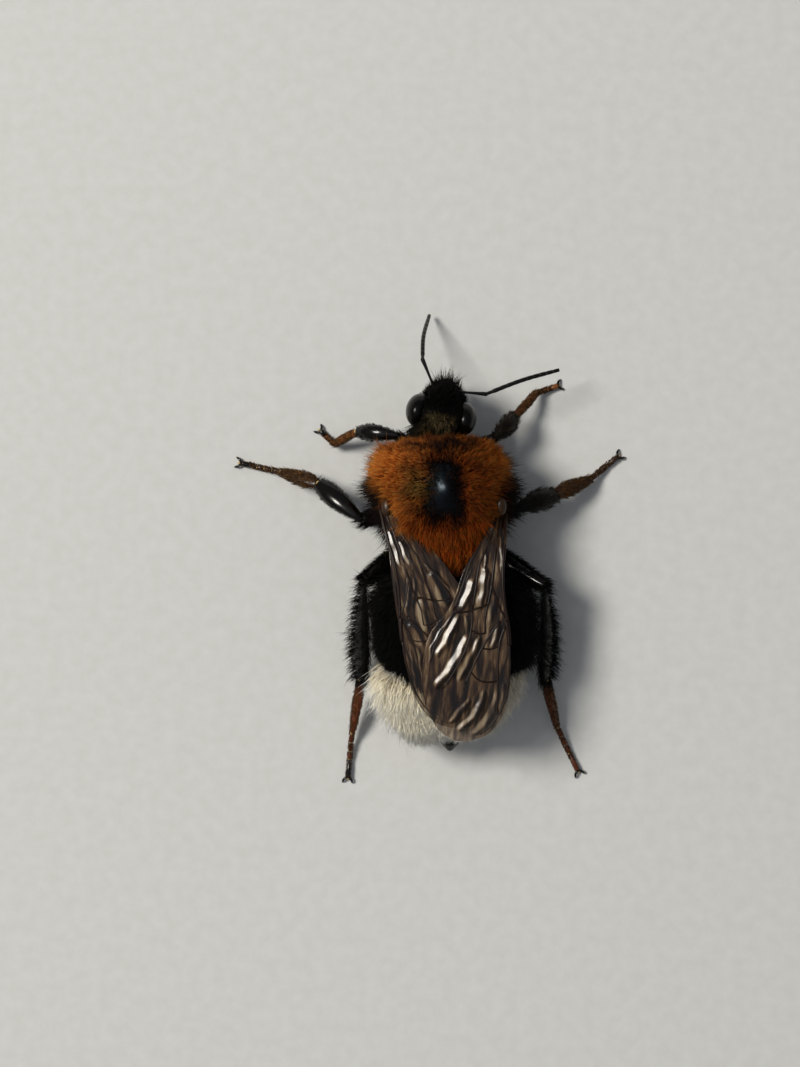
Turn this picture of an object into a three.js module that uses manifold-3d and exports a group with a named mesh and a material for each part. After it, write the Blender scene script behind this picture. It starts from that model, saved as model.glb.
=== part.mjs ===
// A female tree bumblebee standing at rest on level ground, life size.
// Millimetres, +Z up. The head points towards -Y and the bee's own left is +X.
// Each solid reaches out to the tips of the hairs that it carries.
import * as THREE from 'three';
import { mergeVertices } from 'three/addons/utils/BufferGeometryUtils.js';
import Module from 'manifold-3d';

const wasm = await Module();
wasm.setup();

// Driving dimensions
const cutGap = 0.06; // width of the thin cut between two neighbours
const limbRadius = 0.25; // half the least thickness of a foot or feeler
const wingThickness = 0.46;
const wingLayerStep = 0.53; // from one folded wing up to the next
const bodyDrift = -0.55; // how far the rear body lies to the bee's right
const thoraxFront = -3.0;
const thoraxRear = 3.4;
const abdomenFront = 2.5;
const abdomenRear = 11.3;
const tailLine = 8.3; // where the black coat ends and the pale tail begins, half way up
const tailLean = 0.4; // that line lies further back over the top, in radians
const stingLength = 0.8;
const headCentre = new THREE.Vector3(-0.16, -4.2, 3.0);
const headHeight = 3.7;
const headTurn = -0.14; // the head looks a little to the bee's right
const headLean = 0.35; // the chin is carried forward of the crown
const eyeCentre = new THREE.Vector3(1.16, 0.05, 0.35); // the left one, from the head's centre
const eyeHalf = new THREE.Vector3(0.5, 0.74, 1.12);
const eyeTilt = 0.16; // the crowns of the eyes lean apart, in radians
const mandibleFrom = new THREE.Vector3(0.5, -0.35, -1.25);
const mandibleTo = new THREE.Vector3(0.2, -0.75, -2.25);
const tegulaHalf = new THREE.Vector3(0.36, 0.52, 0.3);
const tegulaTilt = 0.5;
const tegulaHeight = 4.95;
const floorLevel = 0;
const blockSize = 60; // a cutting block larger than the bee
const weldDistance = 1e-4;

const coatGinger = new THREE.MeshStandardMaterial({ color: '#a85a14', roughness: 0.9, metalness: 0 });
const coatBlack = new THREE.MeshStandardMaterial({ color: '#17120f', roughness: 0.85, metalness: 0 });
const coatCream = new THREE.MeshStandardMaterial({ color: '#ddd0a8', roughness: 0.9, metalness: 0 });
const shellBlack = new THREE.MeshStandardMaterial({ color: '#120e0c', roughness: 0.25, metalness: 0 });
const shellBrown = new THREE.MeshStandardMaterial({ color: '#7a4320', roughness: 0.4, metalness: 0 });
const eyeBlack = new THREE.MeshStandardMaterial({ color: '#0c0b0d', roughness: 0.15, metalness: 0 });
const wingSmoke = new THREE.MeshStandardMaterial({ color: '#5a4636', roughness: 0.3, metalness: 0 });

// Solids and meshes

function toSolid(geometry) {
  const bare = geometry.clone();
  bare.deleteAttribute('normal');
  bare.deleteAttribute('uv');
  const welded = mergeVertices(bare, weldDistance);
  const vertProperties = new Float32Array(welded.attributes.position.array);
  const triVerts = new Uint32Array(welded.index.array);
  return new wasm.Manifold(new wasm.Mesh({ numProp: 3, vertProperties, triVerts }));
}

function toGeometry(solid) {
  const mesh = solid.getMesh();
  const geometry = new THREE.BufferGeometry();
  geometry.setAttribute('position', new THREE.BufferAttribute(mesh.vertProperties, mesh.numProp));
  geometry.setIndex(new THREE.BufferAttribute(mesh.triVerts, 1));
  geometry.computeVertexNormals();
  return geometry;
}

// The same form, larger by a margin all round.
function grown(geometry, margin) {
  const bare = geometry.clone();
  bare.deleteAttribute('normal');
  bare.deleteAttribute('uv');
  const wider = mergeVertices(bare, weldDistance);
  wider.computeVertexNormals();
  const place = wider.attributes.position;
  const normal = wider.attributes.normal;
  for (let i = 0; i < place.count; i += 1) {
    place.setXYZ(
      i,
      place.getX(i) + normal.getX(i) * margin,
      place.getY(i) + normal.getY(i) * margin,
      place.getZ(i) + normal.getZ(i) * margin,
    );
  }
  return wider;
}

// Cuts a form clear of its neighbours, with the thin gap left between them, and trims it flush with a block.
function clearOf(geometry, neighbours, blocks = []) {
  let solid = toSolid(geometry);
  for (const neighbour of neighbours) {
    solid = solid.subtract(toSolid(grown(neighbour, cutGap)));
  }
  for (const trimmer of blocks) {
    solid = solid.subtract(toSolid(trimmer));
  }
  const largest = solid.decompose().sort((a, b) => b.volume() - a.volume())[0];
  return toGeometry(largest);
}

function block(size) {
  return new THREE.BoxGeometry(size, size, size);
}

// Forms

// A closed form along a path. Each section is [share of the path, half width, half height],
// and the first and last sections have no width. up says which way the height points.
function formAlong(path, sections, up, around, along) {
  const rows = new THREE.CatmullRomCurve3(sections.map((row) => new THREE.Vector3(...row)));
  const geometry = new THREE.SphereGeometry(1, around, along);
  const place = geometry.attributes.position;
  const unit = new THREE.Vector3();
  for (let i = 0; i < place.count; i += 1) {
    unit.fromBufferAttribute(place, i);
    const turn = Math.acos(THREE.MathUtils.clamp(unit.y, -1, 1));
    const row = rows.getPoint(turn / Math.PI);
    const share = THREE.MathUtils.clamp(row.x, 0, 1);
    const ring = Math.max(Math.sin(turn), 1e-6);
    const forward = path.getTangent(share);
    const side = new THREE.Vector3().crossVectors(up, forward).normalize();
    const crown = new THREE.Vector3().crossVectors(forward, side).normalize();
    const point = path.getPoint(share);
    point.addScaledVector(side, (unit.x / ring) * Math.max(row.y, 0));
    point.addScaledVector(crown, (unit.z / ring) * Math.max(row.z, 0));
    place.setXYZ(i, point.x, point.y, point.z);
  }
  return geometry;
}

// A limb segment from one joint to the next, thickest near the middle, with round ends.
function segment(from, to, startRadius, midRadius, endRadius, flatness, up) {
  const sections = [
    [0, 0, 0],
    [0.03, startRadius * 0.75, startRadius * 0.75 * flatness],
    [0.14, startRadius, startRadius * flatness],
    [0.5, midRadius, midRadius * flatness],
    [0.86, endRadius, endRadius * flatness],
    [0.97, endRadius * 0.75, endRadius * 0.75 * flatness],
    [1, 0, 0],
  ];
  return formAlong(new THREE.LineCurve3(from, to), sections, up, 8, 7);
}

const upward = new THREE.Vector3(0, 0, 1);

// Where the body's middle line runs at a distance y along the body.
function middleX(y) {
  return bodyDrift * THREE.MathUtils.smoothstep(y, thoraxFront, 4.5);
}

function bodyPath(points) {
  return new THREE.CatmullRomCurve3(points.map(([y, z]) => new THREE.Vector3(middleX(y), y, z)));
}

function thoraxForm() {
  const path = bodyPath([[thoraxFront, 3.35], [-0.9, 3.75], [1.2, 3.85], [thoraxRear, 4.05]]);
  const sections = [
    [0, 0, 0],
    [0.02, 1.9, 1.5],
    [0.09, 2.7, 2.1],
    [0.2, 3.16, 2.6],
    [0.33, 3.28, 2.85],
    [0.5, 2.95, 2.8],
    [0.68, 2.5, 2.45],
    [0.85, 1.75, 1.85],
    [0.96, 0.85, 1.0],
    [1, 0, 0],
  ];
  return formAlong(path, sections, upward, 22, 14);
}

function abdomenForm() {
  const path = bodyPath([[abdomenFront, 3.0], [5.4, 3.2], [8.4, 2.95], [abdomenRear, 2.35]]);
  const sections = [
    [0, 0, 0],
    [0.03, 1.3, 1.0],
    [0.1, 2.35, 1.7],
    [0.22, 3.05, 2.2],
    [0.38, 3.35, 2.35],
    [0.58, 3.48, 2.35],
    [0.75, 3.42, 2.2],
    [0.87, 2.95, 1.85],
    [0.96, 1.75, 1.15],
    [1, 0, 0],
  ];
  return formAlong(path, sections, upward, 22, 16);
}

// The head hangs chin down, so its form runs from the crown to the mouth.
function headForm() {
  const half = headHeight / 2;
  const path = new THREE.LineCurve3(new THREE.Vector3(0, 0, half), new THREE.Vector3(0, 0, -half));
  const sections = [
    [0, 0, 0],
    [0.04, 0.8, 0.75],
    [0.16, 1.3, 1.15],
    [0.36, 1.5, 1.4],
    [0.6, 1.46, 1.45],
    [0.8, 1.1, 1.1],
    [0.95, 0.7, 0.7],
    [1, 0, 0],
  ];
  return formAlong(path, sections, new THREE.Vector3(0, 1, 0), 16, 10);
}

function eyeForm(side) {
  const geometry = new THREE.SphereGeometry(1, 12, 10);
  geometry.scale(eyeHalf.x, eyeHalf.y, eyeHalf.z);
  geometry.rotateY(side * eyeTilt);
  geometry.translate(side * eyeCentre.x, eyeCentre.y, eyeCentre.z);
  return geometry;
}

function mandibleForm(side) {
  const mirror = new THREE.Vector3(side, 1, 1);
  const from = mandibleFrom.clone().multiply(mirror);
  const to = mandibleTo.clone().multiply(mirror);
  return segment(from, to, 0.34, 0.32, limbRadius, 0.85, new THREE.Vector3(0, 1, 0));
}

function headPlace() {
  const place = new THREE.Matrix4().makeRotationZ(headTurn);
  place.multiply(new THREE.Matrix4().makeRotationX(-headLean));
  place.setPosition(headCentre);
  return place;
}

// Wings

// Plans of the folded wings. Each edge point is [share of the length, distance towards the front edge].
const foreWingPlan = {
  length: 10.8,
  front: [[0, 0.2], [0.12, 0.28], [0.26, 0.3], [0.39, 0.5], [0.57, 0.95], [0.7, 1.14], [0.8, 1.16],
    [0.89, 0.92], [0.96, 0.4], [1, -0.5]],
  rear: [[0, -0.26], [0.12, -0.6], [0.26, -1.4], [0.44, -1.9], [0.57, -2.7], [0.71, -2.85], [0.83, -2.6],
    [0.92, -2.15], [0.97, -1.7], [1, -1.0]],
};
const hindWingPlan = {
  length: 7.4,
  front: [[0, 0.15], [0.24, 0.35], [0.54, 0.45], [0.81, 0.3], [1, -0.25]],
  rear: [[0, -0.3], [0.22, -0.95], [0.46, -1.5], [0.7, -1.5], [0.89, -1.05], [1, -0.6]],
};

// The height of the lowest wing: up from the hinge, over the abdomen and down to the tips.
function wingBed(x, y) {
  const rise = 0.62 * THREE.MathUtils.smoothstep(y, 0.8, 4.2);
  const fall = 0.75 * THREE.MathUtils.smoothstep(y, 6.0, 12.0);
  const away = x - middleX(y);
  return 4.5 + rise - fall - 0.035 * away * away * THREE.MathUtils.smoothstep(y, 1.5, 4.5);
}

// side is 1 on the bee's left and -1 on its right, sweep turns the wing in towards the middle.
function wingForm(plan, side, hinge, sweep, layer) {
  const planPoint = ([share, width]) => new THREE.Vector2(share * plan.length, width);
  const front = new THREE.SplineCurve(plan.front.map(planPoint));
  const rear = new THREE.SplineCurve(plan.rear.map(planPoint));
  const geometry = new THREE.BoxGeometry(1, 1, 1, 14, 3, 1);
  const place = geometry.attributes.position;
  for (let i = 0; i < place.count; i += 1) {
    const lengthShare = place.getX(i) + 0.5;
    const widthShare = 0.5 - side * place.getY(i);
    const local = rear.getPoint(lengthShare).lerp(front.getPoint(lengthShare), widthShare);
    const x = hinge.x - side * (local.x * Math.sin(sweep) - local.y * Math.cos(sweep));
    const y = hinge.y + local.x * Math.cos(sweep) + local.y * Math.sin(sweep);
    const lift = layer * wingLayerStep * THREE.MathUtils.smoothstep(y, 0.6, 3.4);
    place.setXYZ(i, x, y, wingBed(x, y) + lift + place.getZ(i) * wingThickness);
  }
  return geometry;
}

// Legs: the joints of each one, from the hip to the claws, and the thickness of its parts.
const legs = [
  {
    name: 'front_left',
    hip: [0.85, -2.0, 1.9],
    knee: [1.85, -2.98, 2.55],
    ankle: [3.78, -3.21, 1.65],
    heel: [4.88, -2.68, 0.6],
    claw: [5.62, -3.4, 0.12],
    radius: { femur: 0.42, tibia: 0.42, basitarsus: 0.3 },
  },
  {
    name: 'front_right',
    hip: [-1.1, -2.0, 1.9],
    knee: [-2.61, -2.86, 2.7],
    ankle: [-3.61, -3.91, 1.6],
    heel: [-4.64, -5.08, 0.6],
    claw: [-5.85, -5.5, 0.12],
    radius: { femur: 0.42, tibia: 0.42, basitarsus: 0.3 },
  },
  {
    name: 'middle_left',
    hip: [1.1, 0.2, 1.7],
    knee: [3.51, 0.92, 2.8],
    ankle: [5.56, -0.78, 1.75],
    heel: [7.38, -1.36, 0.6],
    claw: [9.6, -1.85, 0.12],
    radius: { femur: 0.5, tibia: 0.55, basitarsus: 0.42 },
  },
  {
    name: 'middle_right',
    hip: [-1.5, 0.2, 1.7],
    knee: [-3.46, 0.46, 2.9],
    ankle: [-5.48, -0.26, 1.65],
    heel: [-7.19, -1.03, 0.6],
    claw: [-8.74, -2.26, 0.12],
    radius: { femur: 0.5, tibia: 0.55, basitarsus: 0.42 },
  },
  {
    name: 'hind_left',
    hip: [0.8, 1.9, 1.7],
    knee: [3.42, 3.68, 3.6],
    ankle: [3.6, 8.39, 1.5],
    heel: [4.03, 10.94, 0.6],
    claw: [4.27, 13.4, 0.12],
    radius: { femur: 0.52, tibia: 0.6, basitarsus: 0.3 },
  },
  {
    name: 'hind_right',
    hip: [-1.5, 1.9, 1.7],
    knee: [-4.89, 3.95, 3.6],
    ankle: [-5.05, 8.39, 1.5],
    heel: [-5.63, 10.66, 0.6],
    claw: [-6.8, 13.1, 0.12],
    radius: { femur: 0.52, tibia: 0.6, basitarsus: 0.3 },
  },
];

// Feelers: the joints of each one, from its socket in the face to its tip.
const antennae = [
  { name: 'left', socket: [0.14, -4.75, 3.15], elbow: [0.73, -6.48, 3.3], tip: [0.39, -8.74, 0.5] },
  { name: 'right', socket: [-0.66, -4.7, 3.15], elbow: [-2.19, -4.88, 3.3], tip: [-5.59, -6.03, 2.7] },
];

function pieceMesh(name, geometry, material) {
  geometry.computeBoundingBox();
  const centre = geometry.boundingBox.getCenter(new THREE.Vector3());
  geometry.translate(-centre.x, -centre.y, -centre.z);
  const mesh = new THREE.Mesh(geometry, material);
  mesh.name = name;
  mesh.position.copy(centre);
  return mesh;
}

function legMeshes(leg, bodies) {
  const joints = [leg.hip, leg.knee, leg.ankle, leg.heel, leg.claw];
  const [hip, knee, ankle, heel, claw] = joints.map((joint) => new THREE.Vector3(...joint));
  const ground = block(blockSize).translate(0, 0, floorLevel - blockSize / 2);
  const wide = leg.radius;
  const femur = segment(hip, knee, wide.femur * 0.85, wide.femur, wide.femur * 0.8, 0.9, upward);
  const tibia = segment(knee, ankle, wide.tibia * 0.7, wide.tibia, wide.tibia * 0.95, 0.8, upward);
  const basitarsus = segment(ankle, heel, wide.basitarsus, wide.basitarsus, limbRadius, 0.9, upward);
  const foot = segment(heel, claw, limbRadius, limbRadius, limbRadius, 1, upward);
  return [
    pieceMesh(`leg_${leg.name}_femur`, clearOf(femur, bodies), coatBlack),
    pieceMesh(`leg_${leg.name}_tibia`, clearOf(tibia, [...bodies, femur]), coatBlack),
    pieceMesh(`leg_${leg.name}_basitarsus`, clearOf(basitarsus, [tibia]), shellBrown),
    pieceMesh(`leg_${leg.name}_foot`, clearOf(foot, [basitarsus], [ground]), shellBrown),
  ];
}

function antennaMeshes(antenna, head) {
  const joints = [antenna.socket, antenna.elbow, antenna.tip];
  const [socket, elbow, tip] = joints.map((joint) => new THREE.Vector3(...joint));
  const scape = segment(socket, elbow, limbRadius, limbRadius, limbRadius, 1, upward);
  const flagellum = segment(elbow, tip, limbRadius, limbRadius, limbRadius, 1, upward);
  return [
    pieceMesh(`antenna_${antenna.name}_scape`, clearOf(scape, head), shellBlack),
    pieceMesh(`antenna_${antenna.name}_flagellum`, clearOf(flagellum, [...head, scape]), shellBlack),
  ];
}

function tegulaForm(x, y, side) {
  const geometry = new THREE.SphereGeometry(1, 8, 6);
  geometry.scale(tegulaHalf.x, tegulaHalf.y, tegulaHalf.z);
  geometry.rotateY(side * tegulaTilt);
  geometry.translate(x, y, tegulaHeight);
  return geometry;
}

// The four wings, from the lowest to the highest of the folded stack
const wings = {
  wing_hind_left: wingForm(hindWingPlan, 1, new THREE.Vector2(2.2, 1.3), 0.19, 0),
  wing_hind_right: wingForm(hindWingPlan, -1, new THREE.Vector2(-2.75, 1.3), 0.12, 0),
  wing_fore_left: wingForm(foreWingPlan, 1, new THREE.Vector2(2.6, 0.2), 0.3, 1),
  wing_fore_right: wingForm(foreWingPlan, -1, new THREE.Vector2(-2.95, 0.3), 0.115, 2),
};
const wingForms = Object.values(wings);

const tegulae = {
  tegula_left: tegulaForm(2.4, 0.35, 1),
  tegula_right: tegulaForm(-2.85, 0.3, -1),
};
const thorax = thoraxForm();
const abdomen = abdomenForm();
const head = headForm().applyMatrix4(headPlace());
const eyes = {
  eye_left: eyeForm(1).applyMatrix4(headPlace()),
  eye_right: eyeForm(-1).applyMatrix4(headPlace()),
};
const leftMandible = mandibleForm(1).applyMatrix4(headPlace());
const rightMandible = mandibleForm(-1).applyMatrix4(headPlace());

const bee = new THREE.Group();

const headGroup = new THREE.Group();
headGroup.add(pieceMesh('head', clearOf(head, [thorax, ...Object.values(eyes)]), coatBlack));
for (const [name, geometry] of Object.entries(eyes)) {
  headGroup.add(pieceMesh(name, toGeometry(toSolid(geometry)), eyeBlack));
}
headGroup.add(pieceMesh('mandible_left', clearOf(leftMandible, [head]), shellBlack));
headGroup.add(pieceMesh('mandible_right', clearOf(rightMandible, [head, leftMandible]), shellBlack));
for (const antenna of antennae) {
  headGroup.add(...antennaMeshes(antenna, [head]));
}
bee.add(headGroup);

bee.add(pieceMesh('thorax', clearOf(thorax, [...wingForms, ...Object.values(tegulae)]), coatGinger));

const wingGroup = new THREE.Group();
Object.entries(wings).forEach(([name, geometry], layer) => {
  wingGroup.add(pieceMesh(name, clearOf(geometry, wingForms.slice(layer + 1)), wingSmoke));
});
for (const [name, geometry] of Object.entries(tegulae)) {
  wingGroup.add(pieceMesh(name, clearOf(geometry, wingForms), shellBrown));
}
bee.add(wingGroup);

// The abdomen parts into its black front and its pale tail at the tail line.
const blockOffset = (blockSize - cutGap) / 2;
const alongTail = (offset) => block(blockSize).translate(0, offset, 0).rotateX(-tailLean);
const behindLine = alongTail(blockOffset).translate(0, tailLine, 3);
const beforeLine = alongTail(-blockOffset).translate(0, tailLine, 3);
const stingFrom = new THREE.Vector3(bodyDrift, abdomenRear - 0.45, 2.4);
const stingTo = new THREE.Vector3(bodyDrift, abdomenRear - 0.3 + stingLength, 2.15);
const sting = segment(stingFrom, stingTo, 0.34, 0.32, limbRadius, 1, upward);
bee.add(pieceMesh('abdomen', clearOf(abdomen, [thorax, ...wingForms], [behindLine]), coatBlack));
bee.add(pieceMesh('tail', clearOf(abdomen, wingForms, [beforeLine]), coatCream));
bee.add(pieceMesh('sting', clearOf(sting, [abdomen]), shellBlack));

for (const leg of legs) {
  const legGroup = new THREE.Group();
  legGroup.add(...legMeshes(leg, [thorax, abdomen, head]));
  bee.add(legGroup);
}

// The origin is the middle of the floor under the bee.
const bounds = new THREE.Box3().setFromObject(bee);
const middle = bounds.getCenter(new THREE.Vector3());
bee.position.set(-middle.x, -middle.y, -floorLevel);

export default bee;
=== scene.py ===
import math

import bmesh
import bpy
import numpy as np
from mathutils import Matrix, Vector
from mathutils.kdtree import KDTree


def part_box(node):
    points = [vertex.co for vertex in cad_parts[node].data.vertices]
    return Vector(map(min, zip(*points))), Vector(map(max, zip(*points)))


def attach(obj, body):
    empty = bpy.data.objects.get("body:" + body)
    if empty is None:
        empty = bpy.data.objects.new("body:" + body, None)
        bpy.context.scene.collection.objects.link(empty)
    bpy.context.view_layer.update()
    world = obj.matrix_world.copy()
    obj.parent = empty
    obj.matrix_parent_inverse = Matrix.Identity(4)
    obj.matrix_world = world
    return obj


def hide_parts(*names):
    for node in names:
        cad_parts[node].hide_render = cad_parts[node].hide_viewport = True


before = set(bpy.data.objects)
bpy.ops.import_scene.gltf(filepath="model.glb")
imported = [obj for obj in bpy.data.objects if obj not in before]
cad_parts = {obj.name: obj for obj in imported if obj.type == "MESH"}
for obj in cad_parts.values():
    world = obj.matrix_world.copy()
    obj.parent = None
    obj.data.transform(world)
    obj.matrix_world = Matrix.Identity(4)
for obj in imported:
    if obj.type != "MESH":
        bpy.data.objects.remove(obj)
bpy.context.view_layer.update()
print("frame loaded")

mm = 0.001
dice = np.random.default_rng(20)
sides = (("left", 1), ("right", -1))

# The chest starts 3 mm in front of the point that shapes are written from, and the tail's tip is 0.55 mm
# to its right.
chestLow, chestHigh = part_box("thorax")
tailLow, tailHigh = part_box("sting")
chestAhead = 3.0
bodyDrift = -0.55
startX = (tailLow.x + tailHigh.x) / 2 / mm - bodyDrift
startY = chestLow.y / mm + chestAhead
toFrame = Matrix.Scale(mm, 4) @ Matrix.Translation((startX, startY, 0))


# Small helpers.

# 0 before the start, 1 after the end and a smooth slope between them.
def ramp(value, start, end):
    share = np.clip((np.asarray(value, float) - start) / (end - start), 0, 1)
    return share * share * (3 - 2 * share)


# A round hill, 1 at its middle, from one or more of (value, middle, width).
def hill(*parts):
    return np.exp(-sum(((value - middle) / width) ** 2 for value, middle, width in parts))


def axes(points):
    return np.moveaxis(np.asarray(points, float), -1, 0)


def unit(vectors):
    vectors = np.asarray(vectors, float)
    return vectors / np.maximum(np.linalg.norm(vectors, axis=-1, keepdims=True), 1e-12)


# Smooth curve through evenly counted rows.
def curvePoint(rows, share):
    rows = np.asarray(rows, float)
    last = len(rows) - 1
    padded = np.vstack([2 * rows[0] - rows[1], rows, 2 * rows[-1] - rows[-2]])
    place = np.clip(np.asarray(share, float), 0, 1) * last
    index = np.minimum(place.astype(int), last - 1)
    t = (place - index)[..., None]
    a, b, c, d = (padded[index + k] for k in range(4))
    square = (2 * a - 5 * b + 4 * c - d) * t ** 2
    return 0.5 * (2 * b + (c - a) * t + square + (3 * b - a - 3 * c + d) * t ** 3)


def middleX(y):
    return bodyDrift * ramp(y, -3.0, 4.5)


# sRGB hex to the linear colour that a shader takes.
def hexColour(code):
    parts = [int(code[i:i + 2], 16) / 255 for i in (1, 3, 5)]
    return [c / 12.92 if c <= 0.04045 else ((c + 0.055) / 1.055) ** 2.4 for c in parts] + [1.0]


def newObject(name, data):
    obj = bpy.data.objects.new(name, data)
    bpy.context.scene.collection.objects.link(obj)
    return obj


def newMesh(name, bm):
    mesh = bpy.data.meshes.new(name)
    bm.to_mesh(mesh)
    bm.free()
    return mesh


def smoothFaces(faces, slotIndex=0):
    for face in faces:
        face.material_index = slotIndex
        face.smooth = True


def setLayer(mesh, key, values):
    layer = mesh.attributes.new(key, "FLOAT", "POINT")
    layer.data.foreach_set("value", np.asarray(values, np.float32))


def showMesh(name, mesh, materials, slot, nodes=()):
    for material in materials:
        mesh.materials.append(material)
    obj = newObject(name, mesh)
    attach(obj, "root")
    if nodes:
        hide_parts(*nodes)
    return obj


def finishPiece(name, bm, materials, slot, nodes=()):
    bmesh.ops.recalc_face_normals(bm, faces=bm.faces)
    bmesh.ops.transform(bm, matrix=toFrame, verts=bm.verts)
    return showMesh(name, newMesh(name, bm), materials, slot, nodes)


# Forms: a closed round form along a path, and the points on it. A section is its place along the path,
# its half width and its half height above and below the path.

def makeForm(path, sections, up=(0, 0, 1), matrix=None, relief=None):
    rows = [list(r) + [r[2]] if len(r) == 3 else list(r) for r in sections]
    return {"path": path, "sections": rows, "up": np.array(up, float), "matrix": matrix, "relief": relief}


def plainPoint(form, s, turn):
    rows = curvePoint(form["sections"], s)
    share = np.clip(rows[..., 0], 0, 1)
    centre = curvePoint(form["path"], share)
    ahead = unit(curvePoint(form["path"], share + 0.02) - curvePoint(form["path"], share - 0.02))
    side = unit(np.cross(ahead, form["up"]))
    crown = np.cross(side, ahead)
    wide = np.maximum(rows[..., 1], 0) * np.cos(turn)
    tall = np.where(np.sin(turn) > 0, rows[..., 2], rows[..., 3])
    tall = np.maximum(tall, 0) * np.sin(turn)
    return centre + side * wide[..., None] + crown * tall[..., None]


# Point, outward normal, direction towards the form's end and area share at each place.
def formFrame(form, s, turn):
    step = 0.004
    low, high = np.clip(s - step, 0.002, 0.998), np.clip(s + step, 0.002, 0.998)
    point = plainPoint(form, s, turn)
    along = plainPoint(form, high, turn) - plainPoint(form, low, turn)
    around = plainPoint(form, s, turn + step) - plainPoint(form, s, turn - step)
    normal = np.cross(along, around)
    area = np.linalg.norm(normal, axis=-1)
    normal, along = unit(normal), unit(along)
    if form["relief"] is not None:
        point = point + normal * form["relief"](point, s, turn)[..., None]
    if form["matrix"] is not None:
        spin = np.array(form["matrix"].to_3x3())
        point = point @ spin.T + np.array(form["matrix"].translation)
        normal, along = normal @ spin.T, along @ spin.T
    return point, normal, along, area


# A sphere whose rows are moved on to the form.
def addForm(bm, form, around, along, slotIndex=0):
    made = bmesh.ops.create_uvsphere(bm, u_segments=around, v_segments=along, radius=1)["verts"]
    x, y, z = axes([v.co for v in made])
    points = formFrame(form, np.arccos(np.clip(z, -1, 1)) / np.pi, np.arctan2(y, x))[0]
    for vert, point in zip(made, points):
        vert.co = point
    smoothFaces({f for v in made for f in v.link_faces}, slotIndex)


def addBall(bm, centre, half, spin=None, around=12, along=8, slotIndex=0):
    place = Matrix.Translation(centre) @ (spin or Matrix()) @ Matrix.Diagonal((*half, 1))
    made = bmesh.ops.create_uvsphere(bm, u_segments=around, v_segments=along, radius=1, matrix=place)
    smoothFaces({f for v in made["verts"] for f in v.link_faces}, slotIndex)


# A closed rod through points, with a radius at even steps along it.
def addRod(bm, points, radii, around=12, along=12, slotIndex=0, flat=1.0, up=(0, 0, 1)):
    last = len(radii) - 1
    rows = [[0, 0, 0], [0.012, radii[0] * 0.8, radii[0] * 0.8 * flat]]
    rows += [[0.03 + 0.94 * i / last, r, r * flat] for i, r in enumerate(radii)]
    rows += [[0.988, radii[-1] * 0.8, radii[-1] * 0.8 * flat], [1, 0, 0]]
    form = makeForm(points, rows, up)
    addForm(bm, form, around, along, slotIndex)
    return form


# Finishes.

pitDeep = 0.01 * mm


def newMaterial(name):
    material = bpy.data.materials.new(name)
    material.use_nodes = True
    tree = material.node_tree
    return material, tree, tree.nodes["Principled BSDF"]


def setNode(tree, node, settings, links):
    for key, value in settings.items():
        if key == "stops":  # of a colour ramp
            elements = node.color_ramp.elements
            while len(elements) < len(value):
                elements.new(0.5)
            for element, (place, colour) in zip(elements, value):
                element.position = place
                element.color = hexColour(colour)
        elif isinstance(key, int) or key in node.inputs:
            node.inputs[key].default_value = hexColour(value) if isinstance(value, str) else value
        else:
            setattr(node, key, value)
    for key, source in links.items():
        tree.links.new(source, node.inputs[key])


# Adds a node and gives its first output in use.
def addNode(tree, kind, settings, links):
    node = tree.nodes.new("ShaderNode" + kind)
    setNode(tree, node, settings, links)
    return next(socket for socket in node.outputs if socket.enabled)


# Mixes two colours, each a hex code or an output.
def blend(tree, share, first, second):
    settings, links = {"data_type": "RGBA"}, {"Factor": share}
    for key, colour in ((6, first), (7, second)):
        (settings if isinstance(colour, str) else links)[key] = colour
    return addNode(tree, "Mix", settings, links)


def objectPlace(tree):
    return tree.nodes.new("ShaderNodeTexCoord").outputs["Object"]


def attribute(tree, name):
    node = tree.nodes.new("ShaderNodeAttribute")
    node.attribute_name = name
    return node.outputs["Fac"]


def perMm(size):
    return 1.0 / (size * mm)


# Chitin: a hard shell with fine pits that break up its reflections.
def shellFinish(name, colour, mottle, roughness, gloss, pitMm, pitDepth):
    material, tree, shader = newMaterial(name)
    place = objectPlace(tree)
    pits = addNode(tree, "TexVoronoi", {"Scale": perMm(pitMm)}, {"Vector": place})
    cloud = addNode(tree, "TexNoise", {"Scale": perMm(0.5), "Detail": 3.0}, {"Vector": place})
    bump = addNode(tree, "Bump", {"Strength": pitDepth, "Distance": pitDeep}, {"Height": pits})
    setNode(tree, shader, {"Roughness": roughness, "IOR": 1.5, "Specular IOR Level": gloss},
            {"Base Color": blend(tree, cloud, colour, mottle), "Normal": bump})
    return material


# Skin: the same chitin, tinted under the ginger and the pale coat as the hairs over it are.
def skinFinish():
    material, tree, shader = newMaterial("skinChitin")
    place, ginger = objectPlace(tree), attribute(tree, "ginger")
    cloud = addNode(tree, "TexNoise", {"Scale": perMm(0.4), "Detail": 4.0}, {"Vector": place})
    tint = addNode(tree, "Math", {"operation": "MULTIPLY"}, {0: ginger, 1: cloud})
    colour = blend(tree, attribute(tree, "cream"), blend(tree, tint, "#020202", "#5A2A0E"), "#E0D2B0")
    pits = addNode(tree, "TexVoronoi", {"Scale": perMm(0.09)}, {"Vector": place})
    bump = addNode(tree, "Bump", {"Strength": 0.25, "Distance": pitDeep}, {"Height": pits})
    dull = addNode(tree, "Math", {"operation": "MULTIPLY_ADD", 1: 0.5, 2: 0.3}, {0: ginger})
    setNode(tree, shader, {"IOR": 1.5, "Specular IOR Level": 0.2, "Specular Tint": "#D8ECFF"},
            {"Base Color": colour, "Normal": bump, "Roughness": dull})  # only the bare patch shines
    return material


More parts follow.
